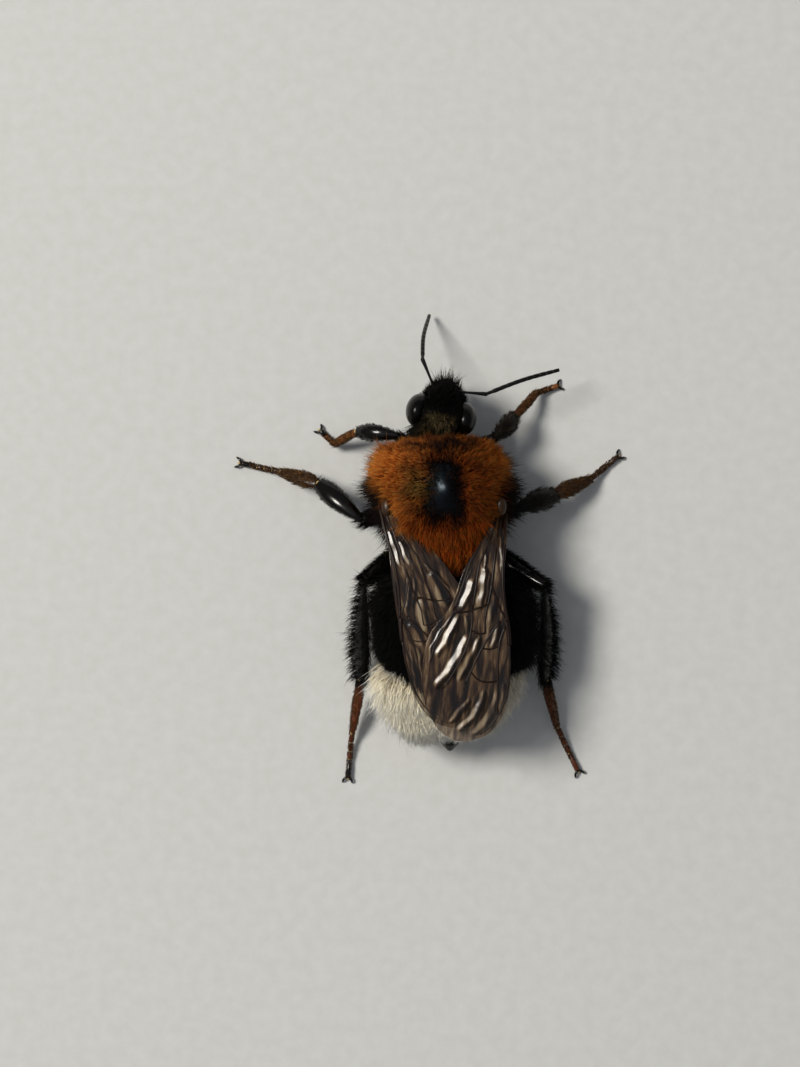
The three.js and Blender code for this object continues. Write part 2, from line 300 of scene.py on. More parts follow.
# Compound eye: near black and glossy. The facets are drawn 0.05 mm wide, twice their real width, so that
# they show.
def eyeFinish():
    material, tree, shader = newMaterial("eyeFacets")
    facets = addNode(tree, "TexVoronoi", {"Scale": perMm(0.05), "Randomness": 0.35},
                     {"Vector": objectPlace(tree)})
    colour = addNode(tree, "ValToRGB", {"stops": [(0.0, "#0C0A08"), (0.7, "#030303")]}, {"Fac": facets})
    bump = addNode(tree, "Bump", {"Strength": 0.3, "Distance": pitDeep, "invert": True}, {"Height": facets})
    setNode(tree, shader, {"Roughness": 0.22, "IOR": 1.2, "Specular IOR Level": 0.7},
            {"Base Color": colour, "Normal": bump})
    return material


# Hair: soft and hardly glossy, each one dark at its root, light at its tip and a little unlike the next, and
# lighter where light is painted in.
# Marked hairs and hairs with painted shade take the second set of colours; hairs with wear or painted sheen
# turn dull olive.
def hairFinish(name, stops, marked, spread, sheen=0.0):
    material, tree, shader = newMaterial(name)
    along, toneAndLight, markAndShade, wornAndSheen = (attribute(tree, key) for key in ("along", "toneAndLight", "markAndShade", "wornAndSheen"))
    light, dark = (addNode(tree, "ValToRGB", {"stops": rows}, {"Fac": along}) for rows in (stops, marked))
    colour = blend(tree, wornAndSheen, blend(tree, markAndShade, light, dark), "#5C4A20")
    value = addNode(tree, "MapRange", {"To Min": 1 - spread, "To Max": 1 + spread}, {"Value": toneAndLight})
    shade = addNode(tree, "HueSaturation", {}, {"Color": colour, "Value": value})
    plain = {"Roughness": 0.55, "IOR": 1.45, "Specular IOR Level": 0.12, "Sheen Weight": sheen}
    setNode(tree, shader, plain, {"Base Color": shade})
    return material


# Wing membrane: a smoky, partly clear, glossy film, with fine pleats along the wing, with painted highlight
# on their lit slopes and painted shade in their creases.
def membraneFinish():
    material, tree, shader = newMaterial("wingMembrane")
    shrunk = addNode(tree, "Math", {"operation": "MULTIPLY", 1: 0.16}, {0: attribute(tree, "reach")})
    place = addNode(tree, "CombineXYZ", {}, {"X": shrunk, "Y": attribute(tree, "across")})
    streaks = addNode(tree, "TexNoise", {"Scale": 3.2, "Detail": 3.0, "Roughness": 0.6, "Distortion": 0.3},
                      {"Vector": place})
    # The painted pleat light, with the streaks, sets the film's colour and how clear it is.
    tint = addNode(tree, "Math", {"operation": "MULTIPLY_ADD", 1: 0.16},
                   {0: attribute(tree, "paintedPleatLight"), 2: streaks})
    stops = [(0.38, "#0F0704"), (0.5, "#342316"), (0.6, "#6A523A"), (0.74, "#AA9678")]
    colour = addNode(tree, "ValToRGB", {"stops": stops}, {"Fac": tint})
    clear = addNode(tree, "MapRange", {"From Min": 0.35, "From Max": 0.65, "To Min": 0.66, "To Max": 0.42},
                    {"Value": tint})
    ripple = addNode(tree, "TexNoise", {"Scale": 2.4, "Detail": 1.0}, {"Vector": place})
    bump = addNode(tree, "Bump", {"Strength": 0.5, "Distance": 5 * pitDeep}, {"Height": ripple})
    setNode(tree, shader, {"Roughness": 0.2, "IOR": 1.5, "Specular IOR Level": 0.55},
            {"Base Color": colour, "Alpha": clear, "Normal": bump})
    return material


skinChitin = skinFinish()
shellBlack = shellFinish("shellBlack", "#040302", "#0A0705", 0.18, 0.34, 0.09, 0.08)
shellBrown = shellFinish("shellBrown", "#4A2812", "#8A5424", 0.34, 0.3, 0.06, 0.3)
shellRust = shellFinish("shellRust", "#3A180C", "#663016", 0.32, 0.3, 0.06, 0.3)
shellDull = shellFinish("shellDull", "#060403", "#120C06", 0.42, 0.12, 0.07, 0.4)
shellUmber = shellFinish("shellUmber", "#1C0F08", "#3A2616", 0.32, 0.3, 0.06, 0.3)
shellPale = shellFinish("jointPale", "#A88858", "#C8B080", 0.4, 0.2, 0.05, 0.2)
veinBrown = shellFinish("veinBrown", "#0E0603", "#22120A", 0.35, 0.2, 0.06, 0.2)
eyeFacets = eyeFinish()
wingMembrane = membraneFinish()
hairGinger = hairFinish("hairGinger",
                        [(0.0, "#331002"), (0.3, "#782802"), (0.65, "#AE4C08"), (1.0, "#E09A42")],
                        [(0.0, "#040201"), (0.5, "#0E0402"), (1.0, "#1E0A04")], 0.5)
hairBlack = hairFinish("hairBlack", [(0.0, "#010101"), (0.6, "#030302"), (1.0, "#0A0807")],
                       [(0.0, "#080603"), (0.5, "#3A2E18"), (1.0, "#94805A")], 0.4)
hairCream = hairFinish("hairCream",
                       [(0.0, "#DCC89A"), (0.25, "#F8E8C4"), (0.7, "#FFF6DC"), (1.0, "#FFFCEE")],
                       [(0.0, "#0A0704"), (0.4, "#3A2A14"), (1.0, "#8A6A3A")], 0.22, sheen=0.9)
hairGold = hairFinish("hairGold", [(0.0, "#2A1408"), (0.5, "#6E431A"), (1.0, "#C09A50")],
                      [(0.0, "#0A0604"), (0.5, "#1A100A"), (1.0, "#3A2414")], 0.3)
print("finishes made")


# Wings: plans and heights, which the coat also needs so that it stays below them.

wingPlans = {
    "fore": {
        "length": 10.8, "grid": (190, 84),
        "front": [[0, 0.2], [0.12, 0.28], [0.26, 0.3], [0.39, 0.5], [0.57, 0.95], [0.7, 1.14], [0.8, 1.16],
                  [0.89, 0.92], [0.96, 0.4], [1, -0.5]],
        "rear": [[0, -0.26], [0.12, -0.6], [0.26, -1.4], [0.44, -1.9], [0.57, -2.7], [0.71, -2.85],
                 [0.83, -2.6], [0.92, -2.15], [0.97, -1.7], [1, -1.0]],
    },
    "hind": {
        "length": 7.4, "grid": (90, 28),
        "front": [[0, 0.15], [0.24, 0.35], [0.54, 0.45], [0.81, 0.3], [1, -0.25]],
        "rear": [[0, -0.3], [0.22, -0.95], [0.46, -1.5], [0.7, -1.5], [0.89, -1.05], [1, -0.6]],
    },
}
wings = {
    "wing_hind_left": {"plan": "hind", "side": 1, "hinge": (2.2, 1.3), "sweep": 0.19, "layer": 0},
    "wing_hind_right": {"plan": "hind", "side": -1, "hinge": (-2.75, 1.3), "sweep": 0.12, "layer": 0},
    "wing_fore_left": {"plan": "fore", "side": 1, "hinge": (2.6, 0.2), "sweep": 0.3, "layer": 1,
                       "wider": 0.5},
    "wing_fore_right": {"plan": "fore", "side": -1, "hinge": (-2.95, 0.3), "sweep": 0.115, "layer": 2},
}
layerGap = 0.24  # between wings that lie over each other
folded = {"height": 4.55, "rise": 0.56, "tipDrop": 0.25, "tucked": 0.6, "rounder": 0.012}
# Pleats: a line along the wing, in mm from the hinge and towards the front edge. It is the middle of a slope
# that faces the bee's left, and its width and steepness follow. A steepness of 0.33 shines in the key light.
pleats = {
    "wing_fore_right": [
        ([(2.4, -1.42), (2.91, -1.55), (3.81, -1.68), (4.64, -1.83)], 0.1, 0.3),
        ([(3.4, -1.06), (3.54, -1.12), (4.17, -1.27), (4.9, -1.53)], 0.26, 0.33),
        ([(5.15, -1.8), (6.01, -2.3), (6.72, -2.6), (7.5, -2.6)], 0.1, 0.33),
        ([(5.06, -1.48), (5.66, -1.78), (6.45, -2.06), (7.1, -2.36)], 0.24, 0.33),
        ([(2.8, -0.63), (3.76, -0.63), (4.78, -0.66)], 0.27, 0.33),
        ([(3.1, -0.36), (3.79, -0.34), (4.4, -0.35)], 0.1, 0.32),
        ([(5.9, -1.05), (6.74, -1.31), (7.57, -1.69), (8.5, -2.3)], 0.3, 0.33),
        ([(5.95, -0.46), (6.63, -0.71), (7.35, -0.97), (8.1, -1.25)], 0.2, 0.33),
        ([(5.3, 0.3), (5.98, 0.19), (6.5, 0.1)], 0.17, 0.33),
        ([(1.3, -0.04), (2.3, 0.1), (3.2, 0.24)], 0.12, 0.28),
        ([(2.1, -0.64), (2.85, -0.57)], 0.1, 0.28),
        ([(4.0, -0.02), (4.79, -0.1), (5.3, -0.12)], 0.18, 0.2),
        ([(5.1, -1.24), (5.9, -1.02)], 0.14, 0.22),
        ([(8.8, -0.6), (9.4, -1.0), (10.0, -1.4)], 0.2, 0.26),
        ([(8.3, 0.02), (9.24, -0.2), (9.82, -0.54), (10.3, -1.02)], 0.24, 0.31),
        ([(8.3, 0.62), (9.3, 0.42), (9.88, 0.14), (10.4, -0.3)], 0.26, 0.24),
        ([(7.9, 0.88), (8.71, 0.83), (9.4, 0.74)], 0.14, 0.22),
    ],
    "wing_fore_left": [
        ([(1.2, 0.1), (2.07, 0.06), (3.0, 0.07)], 0.14, 0.3),
        ([(1.8, -0.25), (2.46, -0.28), (3.05, -0.37)], 0.16, 0.26),
        ([(4.6, -0.42), (5.19, -0.16), (6.1, -0.16)], 0.34, 0.2),
        ([(3.6, -1.06), (4.5, -1.14), (5.35, -1.35)], 0.34, 0.2),
        ([(5.55, 0.5), (6.09, 0.38), (6.7, 0.17)], 0.34, 0.17),
        ([(6.6, 0.72), (7.51, 0.85), (8.5, 1.0)], 0.1, 0.24),
        ([(6.7, 0.39), (7.61, 0.53), (8.6, 0.69)], 0.12, 0.24),
        ([(3.18, -1.02), (3.86, -1.38), (4.63, -1.78)], 0.12, 0.24),
        ([(3.5, -0.13), (4.2, 0.07), (4.93, 0.4)], 0.14, 0.24),
        ([(3.6, -0.38), (4.28, -0.2), (4.75, 0.08)], 0.12, 0.22),
        ([(7.0, 0.0), (7.9, 0.1), (8.8, 0.2)], 0.14, 0.22),
    ],
    "wing_hind_left": [([(0.8, -0.5), (2.8, -0.8), (5.0, -1.1)], 0.2, 0.24)],
    "wing_hind_right": [([(0.8, -0.5), (2.8, -0.8), (5.0, -1.1)], 0.2, 0.24)],
}


# The height of the folded wings over the back, lower on the bee's right where they are tucked in.
def wingBed(x, y):
    away = np.asarray(x) - middleX(y)
    rise = folded["rise"] * np.clip((y - 0.2) / 2.8, 0, 1) - folded["tipDrop"] * ramp(y, 7.0, 12.5)
    tucked = folded["tucked"] * ramp(-away, 1.7, 2.3) * (1 - ramp(y, 0.9, 2.2))
    return folded["height"] + rise - tucked - folded["rounder"] * away ** 2 * ramp(y, 1.0, 3.5)


# Distance from a bent line, on which side of it, 1 towards the front edge, and how far along it.
def lineDistance(u, v, line):
    best = np.full(np.shape(u), 1e9)
    sign, run = np.zeros(np.shape(u)), np.zeros(np.shape(u))
    for i, ((u0, v0), (u1, v1)) in enumerate(zip(line, line[1:])):
        du, dv = u1 - u0, v1 - v0
        share = np.clip(((u - u0) * du + (v - v0) * dv) / (du * du + dv * dv), 0, 1)
        gapU, gapV = u - u0 - share * du, v - v0 - share * dv
        distance = np.hypot(gapU, gapV)
        nearer = distance < best
        sign = np.where(nearer, np.sign(du * gapV - dv * gapU), sign)
        run = np.where(nearer, (i + share) / (len(line) - 1), run)
        best = np.where(nearer, distance, best)
    return best, sign, run


# Height of the pleats, and their painted light: painted highlight (up to 1) on the slopes that face the key
# light and painted shade (down to -1) in the creases.
def wingRelief(name, u, v):
    height, tint = np.zeros(np.shape(u)), np.zeros(np.shape(u))
    for line, width, steep in pleats[name]:
        distance, sign, run = lineDistance(u, v, line)
        across = -wings[name]["side"] * sign * distance + 0.018 * np.sin(8 * u + 40 * width)
        wide = width * (0.45 + 0.6 * np.sqrt(np.sin(np.pi * np.clip(run, 0.01, 0.99))))
        half = wide / 2
        fade = ramp(run, -0.02, 0.08) * ramp(-run, -1.02, -0.92)
        slope = np.clip(np.minimum((across + half) / wide, 1.36 - across / wide / 1.4), 0, 1)
        height = height + wide * steep * slope * fade
        # Painted highlight on the lit slope, painted shade past its crest and a thin line of painted shade
        # at its foot.
        tint = tint + np.clip(1.4 - np.abs(across) / half, 0, 1) * fade * min(steep * 3.6, 1)
        tint = tint - hill((across, 1.7 * half, 0.5 * half + 0.03)) * fade
        tint = tint - 0.6 * hill((across, -1.4 * half, 0.04)) * fade
    return height, np.clip(tint, -1, 1)


def wingSpot(name, u, v):  # u runs along the wing and v towards its front edge
    wing = wings[name]
    s, c = math.sin(wing["sweep"]), math.cos(wing["sweep"])
    x = wing["hinge"][0] - wing["side"] * (u * s - v * c)
    y = wing["hinge"][1] + u * c + v * s
    lift = wing["layer"] * layerGap * ramp(y, 0.1, 1.4)
    return np.stack([x, y, wingBed(x, y) + lift + wingRelief(name, u, v)[0]], -1)


def wingPlace(wing, x, y):
    s, c = math.sin(wing["sweep"]), math.cos(wing["sweep"])
    across, back = wing["side"] * (wing["hinge"][0] - x), y - wing["hinge"][1]
    return across * s + back * c, back * s - across * c


def wingEdge(wing, edge, t):
    plan = wingPlans[wing["plan"]]
    rows = [[share * plan["length"], width] for share, width in plan[edge]]
    if edge == "rear":
        rows = [[u, v - wing.get("wider", 0) * math.sin(math.pi * u / plan["length"]) ** 2] for u, v in rows]
    return curvePoint(rows, t)


# Height of the lowest wing over each place, or a large number where there is none.
def lowestWing(x, y):
    found = np.full(np.shape(x), 99.0)
    for name, wing in wings.items():
        u, v = wingPlace(wing, x, y)
        rear, front = (wingEdge(wing, edge, np.linspace(0, 1, 60)) for edge in ("rear", "front"))
        inside = (u > 0) & (u < wingPlans[wing["plan"]]["length"])
        inside &= v > np.interp(u, rear[:, 0], rear[:, 1]) - 0.1
        inside &= v < np.interp(u, front[:, 0], front[:, 1]) + 0.1
        z = wingSpot(name, u, v)[..., 2] - wingRelief(name, u, v)[0]
        found = np.where(inside & (z < found), z, found)
    return found


# Body forms: skin under the coat.

chest = {
    "path": [(-2.5, 3.3), (-0.9, 3.6), (1.2, 3.65), (3.1, 3.75)],
    "sections": [[0, 0, 0, 0], [0.02, 1.5, 1.1, 1.1], [0.07, 2.0, 1.6, 1.5], [0.16, 2.38, 2.0, 1.8],
                 [0.28, 2.55, 2.25, 1.95], [0.42, 2.45, 2.32, 1.95], [0.55, 2.2, 2.2, 1.9],
                 [0.7, 1.75, 1.85, 1.7], [0.85, 1.1, 1.3, 1.3], [0.95, 0.6, 0.75, 0.8], [1, 0, 0, 0]],
    "groove": 0.13, "seam": 0.03, "mound": 0.16, "shoulder": 0.12,
}
rear = {
    "path": [(2.8, 3.2), (5.4, 3.1), (8.4, 2.9), (10.9, 2.35)],
    "sections": [[0, 0, 0, 0], [0.04, 1.25, 0.8, 0.8], [0.12, 2.2, 1.3, 1.4], [0.24, 2.72, 1.62, 1.8],
                 [0.4, 2.93, 1.75, 1.95], [0.58, 2.92, 1.72, 1.9], [0.72, 2.66, 1.55, 1.7],
                 [0.84, 2.0, 1.32, 1.25], [0.94, 1.2, 0.98, 0.78], [1, 0, 0, 0]],
    "plateEdges": [3.9, 5.1, 6.4, 7.7, 9.0, 10.0], "plateStep": 0.06,
}
headSettings = {
    "centre": (-0.16, -4.1, 3.0), "turn": -0.2, "lean": -0.26,
    "sections": [[0, 0, 0, 0], [0.04, 0.66, 0.55, 0.42], [0.14, 1.06, 0.8, 0.62], [0.32, 1.24, 0.98, 0.76],
                 [0.56, 1.2, 0.98, 0.82], [0.78, 0.86, 0.7, 0.82], [0.93, 0.56, 0.42, 0.66], [1, 0, 0, 0]],
    "eyeHalf": (0.64, 0.76, 1.15), "eyePlace": (1.0, 0.05, 0.35), "eyeTilt": 0.16, "eyeFuller": 0.12,
    "eyeHollow": 0.06, "shield": 0.2, "sockets": 0.12, "ridge": 0.05,
}
# Short forms that fill the joins between head, chest and rear body.
joins = {
    "neck": {"path": [(-0.1, -3.9, 3.2), (-0.08, -3.0, 3.3), (-0.1, -2.2, 3.3)], "smoothed": (-3.5, -2.4),
             "sections": [[0, 0, 0], [0.05, 0.5, 0.5], [0.3, 0.62, 0.6], [0.7, 0.8, 0.75], [0.95, 0.8, 0.7],
                          [1, 0, 0]]},
    "waist": {"path": [(-0.45, 2.2, 3.45), (-0.5, 2.9, 3.3), (-0.53, 3.7, 3.15)], "smoothed": (2.4, 3.4),
              "sections": [[0, 0, 0], [0.05, 0.8, 0.7], [0.5, 0.62, 0.6], [0.95, 0.9, 0.8], [1, 0, 0]]},
}
headMatrix = (Matrix.Translation(headSettings["centre"]) @ Matrix.Rotation(headSettings["turn"], 4, "Z")
              @ Matrix.Rotation(headSettings["lean"], 4, "X"))
headBack = headMatrix.inverted()
headSpin = np.array(headMatrix.to_3x3())


def toHead(points):
    return np.asarray(points) @ np.array(headBack.to_3x3()).T + np.array(headBack.translation)


# A groove behind the shield, one down the middle of its front, and low mounds in its middle and on its left.
def chestRelief(point, *_):
    x, y, z = axes(point)
    x = x + 0.3
    top = ramp(z, 4.4, 5.2)
    groove = -chest["groove"] * hill((y - 0.98 + 0.12 * x * x, 0, 0.1)) * top
    seam = -chest["seam"] * hill((x, 0, 0.06)) * ramp(-y, 0.6, 1.4) * top
    mound = chest["mound"] * hill((x, -0.1, 0.36), (y, -0.45, 0.55)) * top
    shoulder = chest["shoulder"] * hill((x, 1.15, 0.5), (y, -0.5, 1.2)) * top
    return groove + seam + mound + shoulder


# Each plate's hind edge stands a little over the next plate.
def rearRelief(point, _, turn):
    y = point[..., 1] + 0.25 * np.cos(turn) ** 2
    edges = np.array(rear["plateEdges"])
    behind = np.searchsorted(edges, y)
    start = np.concatenate([[2.8], edges])[behind]
    end = np.concatenate([edges, [11.2]])[behind]
    share = np.clip((y - start) / (end - start), 0, 1)
    return rear["plateStep"] * share ** 2 - 0.02


# A raised shield over the mouth, hollows where the feelers are set, and a ridge above them.
def headRelief(point, *_):
    x, y, z = axes(point)
    face = ramp(-y, 0.2, 0.7)
    shield = headSettings["shield"] * np.exp(-((x / 0.52) ** 4 + ((z + 0.85) / 0.45) ** 4)) * face
    sockets = -headSettings["sockets"] * hill((np.abs(x), 0.38, 0.16), (z, -0.02, 0.16)) * face
    ridge = headSettings["ridge"] * hill((x, 0, 0.12)) * ramp(z, -0.3, 0.2) * face
    return shield + sockets + ridge


def bodyForm(body, relief):
    path = [(float(middleX(y)), y, z) for y, z in body["path"]]
    return makeForm(path, body["sections"], relief=relief)


chestForm = bodyForm(chest, chestRelief)
rearForm = bodyForm(rear, rearRelief)
headForm = makeForm([(0, 0, 1.62), (0, 0, -1.72)], headSettings["sections"], up=(0, 1, 0),
                    matrix=headMatrix, relief=headRelief)


# Where the markings lie, on the skin and on the coat.
markings = {
    "bareX": -0.22, "bareY": -0.5, "bareNarrow": 0.04, "bareWider": 0.36, "bareHalfLength": 0.85,
    "bareRound": 0.16, "bareAbove": 4.6,
    "gingerFrom": 2.6, "gingerFull": 3.4, "underWingsHigher": 1.6,
    "creamStart": 7.5, "creamDip": 0.35, "creamSlant": 0.4,
}


# How far each point is outside the bare patch on the chest, which is narrow in front and wide behind.
def bareCore(points):
    x, y, z = axes(points)
    wider = markings["bareWider"] * np.clip((y + 1.6) / 2.0, 0, 1)
    across = np.abs(x - markings["bareX"]) - markings["bareNarrow"] - wider
    ends = np.abs(y - markings["bareY"]) - markings["bareHalfLength"]
    outside = np.hypot(np.maximum(across, 0), np.maximum(ends, 0))
    gap = outside + np.minimum(np.maximum(across, ends), 0) - markings["bareRound"]
    return np.where(z > markings["bareAbove"], gap, 9.0)  # only on top of the chest


# 1 where the coat is ginger: the chest's back and flanks, not its underside or its sides under the wings.
def gingerMark(points):
    x, y, z = axes(points)
    underWing = ramp(np.abs(x + 0.35), 1.7, 2.1) * ramp(y, -1.3, -0.7)
    rise = markings["underWingsHigher"] * underWing
    return ramp(z, markings["gingerFrom"] + rise, markings["gingerFull"] + rise) * ramp(y, -2.9, -2.45)


# 1 behind the slanted line where the pale tail begins.
def creamMark(points):
    x, y, z = axes(points)
    start = markings["creamStart"] + markings["creamDip"] * ramp(-np.abs(x + 0.5), -2.2, -0.9)
    slant = markings["creamSlant"]
    return ramp((y - start) * math.cos(slant) - (z - 3.0) * math.sin(slant), -0.15, 0.2)


# Soft patches of about this many mm, as numbers from 0 to 1.
def patchy(points, size):
    x, y, z = axes(points * (6.3 / size))
    first = np.sin(x + 1.7 * np.sin(y * 0.63 + z * 0.3))
    second = np.sin(y * 1.1 + 1.4 * np.sin(x * 0.57 + z * 0.8))
    return 0.5 + 0.25 * (first + second)


# One closed skin: the forms are united, and smoothed where they join.
def buildSkin():
    neck, waist = (makeForm(join["path"], join["sections"]) for join in joins.values())
    shapes = []
    for form, around, along in ((chestForm, 144, 108), (rearForm, 96, 96), (headForm, 72, 60),
                                (neck, 36, 20), (waist, 36, 20)):
        bm = bmesh.new()
        addForm(bm, form, around, along)
        bmesh.ops.recalc_face_normals(bm, faces=bm.faces)
        shapes.append(newObject("skinPart", newMesh("skinPart", bm)))
    whole = shapes[0]
    for shape in shapes[1:]:
        union = whole.modifiers.new("union", "BOOLEAN")
        union.operation = "UNION"
        union.solver = "MANIFOLD"
        union.object = shape
    evaluated = whole.evaluated_get(bpy.context.evaluated_depsgraph_get())
    bm = bmesh.new()
    bm.from_mesh(evaluated.to_mesh())
    evaluated.to_mesh_clear()
    for shape in shapes:
        bpy.data.objects.remove(shape)
    bmesh.ops.triangulate(bm, faces=[f for f in bm.faces if len(f.verts) > 4])
    spans = [join["smoothed"] for join in joins.values()]
    near = [v for v in bm.verts if any(low < v.co.y < high for low, high in spans)]
    for _ in range(6):
        bmesh.ops.smooth_vert(bm, verts=near, factor=0.5, use_axis_x=True, use_axis_y=True, use_axis_z=True)
    points = np.array([v.co for v in bm.verts])
    smoothFaces(bm.faces)
    skin = finishPiece("skin", bm, [skinChitin], "cuticle_black", ["head", "thorax", "abdomen", "tail"])
    setLayer(skin.data, "ginger", gingerMark(points) * (points[:, 1] < 3.3) * (bareCore(points) > 0.5))
    setLayer(skin.data, "cream", creamMark(points))
    skin.data.validate()  # drops the odd doubled sliver that the union leaves
    return skin


skin = buildSkin()
print("skin", len(skin.data.polygons))


# Head: eyes, ocelli, jaws, tongue, feelers.

face = {
    "ocelli": [(0, -0.42, 1.5), (0.24, -0.16, 1.58), (-0.24, -0.16, 1.58)], "ocellus": (0.1, 0.1, 0.08),
    "jaw": [(0.55, -0.5, -1.2), (0.56, -0.7, -1.55), (0.42, -0.86, -1.9), (0.1, -0.9, -2.15)],
    "jawRadii": [0.22, 0.24, 0.2, 0.15, 0.1],
    "lip": [(-0.4, -1.0, -1.42), (0, -1.12, -1.46), (0.4, -1.0, -1.42)],
    "lipRadii": [0.09, 0.15, 0.15, 0.09],
    "tongue": [(0, -0.45, -1.7), (0, -0.3, -2.05), (0, 0.1, -2.0), (0, 0.5, -1.75)],
    "tongueRadii": [0.14, 0.17, 0.15, 0.1, 0.05],
}


def headLine(spots, side=1):
    return [headMatrix @ Vector((side * x, y, z)) for x, y, z in spots]


def eyeCentre(side):
    x, y, z = headSettings["eyePlace"]
    return (side * x, y, z)


def buildEye(name, side):
    bm = bmesh.new()
    tilt = Matrix.Rotation(side * headSettings["eyeTilt"], 4, "Y")
    matrix = (headMatrix @ Matrix.Translation(eyeCentre(side)) @ tilt
              @ Matrix.Diagonal((*headSettings["eyeHalf"], 1)))
    ball = bmesh.ops.create_uvsphere(bm, u_segments=40, v_segments=28, radius=1)["verts"]
    for vert in ball:  # fuller at the crown, and a little hollow on the side towards the face
        vert.co.y *= 1 + headSettings["eyeFuller"] * vert.co.z
        vert.co.x *= 1 - headSettings["eyeHollow"] * vert.co.z
    bmesh.ops.transform(bm, matrix=matrix, verts=ball)
    smoothFaces(bm.faces)
    finishPiece(f"eye_facets_{name}", bm, [eyeFacets], "eye_black", [f"eye_{name}"])


def buildFace():
    bm = bmesh.new()
    for spot in headLine(face["ocelli"]):
        addBall(bm, spot, face["ocellus"], around=16, along=10)
    finishPiece("ocelli", bm, [eyeFacets], "eye_black")
    for name, side in sides:
        bm = bmesh.new()
        addRod(bm, headLine(face["jaw"], side), face["jawRadii"], 16, 24, flat=0.6, up=(0, -1, 0.3))
        finishPiece(f"jaw_{name}", bm, [shellBlack], "cuticle_black", [f"mandible_{name}"])
    bm = bmesh.new()
    addRod(bm, headLine(face["lip"]), face["lipRadii"], 14, 20, flat=0.7)
    finishPiece("lip", bm, [shellBlack], "cuticle_black")
    bm = bmesh.new()
    addRod(bm, headLine(face["tongue"]), face["tongueRadii"], 12, 20, flat=0.7)
    finishPiece("tongue", bm, [shellBrown], "cuticle_brown")


feelers = {
    "left": {"socket": (0.16, -5.1, 3.2), "elbow": (0.73, -6.48, 3.3), "tip": (0.39, -8.74, 0.5),
             "sag": (0.12, 0, 0.3)},
    "right": {"socket": (-0.74, -5.0, 3.2), "elbow": (-2.19, -4.88, 3.3), "tip": (-5.59, -6.03, 2.7),
              "sag": (0, -0.08, 0.2)},
}
feelerShape = {
    "joints": 11, "firstRadius": 0.08, "radius": 0.1, "thinner": 0.018, "ball": 0.15,
    "stalkRadii": [0.085, 0.06, 0.07, 0.1],
}


def buildFeeler(name, feeler):
    bm = bmesh.new()
    shape = feelerShape
    socket, elbow, tip = (Vector(feeler[key]) for key in ("socket", "elbow", "tip"))
    bend = (socket + elbow) / 2 + Vector((0, 0, 0.08))
    addRod(bm, [socket, bend, elbow], shape["stalkRadii"], 12, 18)
    addBall(bm, socket, (shape["ball"],) * 3, around=14, along=10)
    line = [elbow, (elbow + tip) / 2 + Vector(feeler["sag"]), tip]
    ends = curvePoint(line, np.linspace(0, 1, shape["joints"] + 1))
    addBall(bm, ends[0], (shape["radius"],) * 3)
    for i, (a, b) in enumerate(zip(ends, ends[1:])):  # the last two are thinner
        wide = shape["radius"] - shape["thinner"] * max(0, i - 8) / 3 if i else shape["firstRadius"]
        addRod(bm, [a, (a + b) / 2, b], [wide * 0.93, wide, wide, wide * 0.95])
    finishPiece(f"feeler_{name}", bm, [shellBlack], "cuticle_black",
                [f"antenna_{name}_scape", f"antenna_{name}_flagellum"])


for name, side in sides:
    buildEye(name, side)
buildFace()
for name, feeler in feelers.items():
    buildFeeler(name, feeler)
print("head made")


# Wings.

# Veins: points in mm from the hinge and towards the front edge, then the radius at the start and at the end.
veins = {"fore": [
    ([(0.0, 0.1), (1.3, 0.22), (2.8, 0.24), (4.2, 0.46), (5.3, 0.78)], 0.08, 0.07),
    ([(5.2, 0.7), (5.6, 0.82), (6.2, 0.94)], 0.12, 0.09),
    ([(6.1, 0.92), (7.4, 1.08), (8.6, 1.06), (9.7, 0.7), (10.4, 0.1)], 0.055, 0.03),
    ([(5.45, 0.66), (6.0, 0.5), (6.8, 0.5), (8.0, 0.62), (8.9, 0.72), (9.4, 0.8)], 0.05, 0.035),
    ([(0.1, 0.0), (1.4, -0.14), (2.6, -0.16), (3.6, -0.16)], 0.075, 0.06),
    ([(3.6, -0.16), (4.2, 0.1), (4.7, 0.38), (5.0, 0.62)], 0.055, 0.045),
    ([(3.6, -0.16), (4.4, -0.22), (5.1, -0.3), (5.8, -0.2)], 0.055, 0.045),
    ([(5.2, 0.42), (5.9, 0.0), (6.65, -0.34), (7.5, -0.62), (8.2, -0.86)], 0.055, 0.035),
    ([(6.3, 0.5), (6.5, 0.1), (6.5, -0.26)], 0.045, 0.04),
    ([(7.9, 0.6), (8.0, 0.1), (7.9, -0.34), (7.6, -0.66)], 0.045, 0.035),
    ([(0.3, -0.22), (1.8, -0.5), (2.7, -0.82), (3.7, -0.86), (4.8, -0.9)], 0.06, 0.05),
    ([(4.5, -0.22), (4.65, -0.55), (4.84, -0.9), (4.98, -1.3), (5.0, -1.72)], 0.055, 0.045),
    ([(4.84, -0.9), (5.7, -0.84), (6.7, -1.02), (7.6, -1.36), (8.6, -1.86)], 0.05, 0.03),
    ([(5.8, -0.2), (5.86, -0.5), (5.75, -0.84)], 0.045, 0.04),
    ([(0.3, -0.3), (1.5, -0.72), (2.7, -1.24), (3.9, -1.48), (4.95, -1.76)], 0.055, 0.04),
    ([(4.95, -1.7), (5.9, -2.1), (6.6, -2.42), (7.3, -2.5)], 0.045, 0.03),
], "hind": [
    ([(0.0, 0.05), (1.6, 0.2), (3.4, 0.34), (4.6, 0.32)], 0.06, 0.04),
    ([(0.4, -0.05), (2.0, -0.2), (3.6, -0.18), (4.4, 0.2)], 0.05, 0.035),
    ([(3.0, -0.2), (4.4, -0.4), (5.8, -0.5)], 0.04, 0.025),
    ([(0.4, -0.15), (2.0, -0.55), (3.6, -0.95), (4.6, -1.2)], 0.05, 0.03),
    ([(2.4, -0.2), (2.5, -0.5), (2.4, -0.66)], 0.035, 0.03),
]}
wingThick = 0.022
wingScales = {
    "spots": {"left": (2.4, 0.35, 4.8), "right": (-2.85, 0.3, 4.8)}, "half": (0.24, 0.4, 0.16), "tilt": 0.5,
}


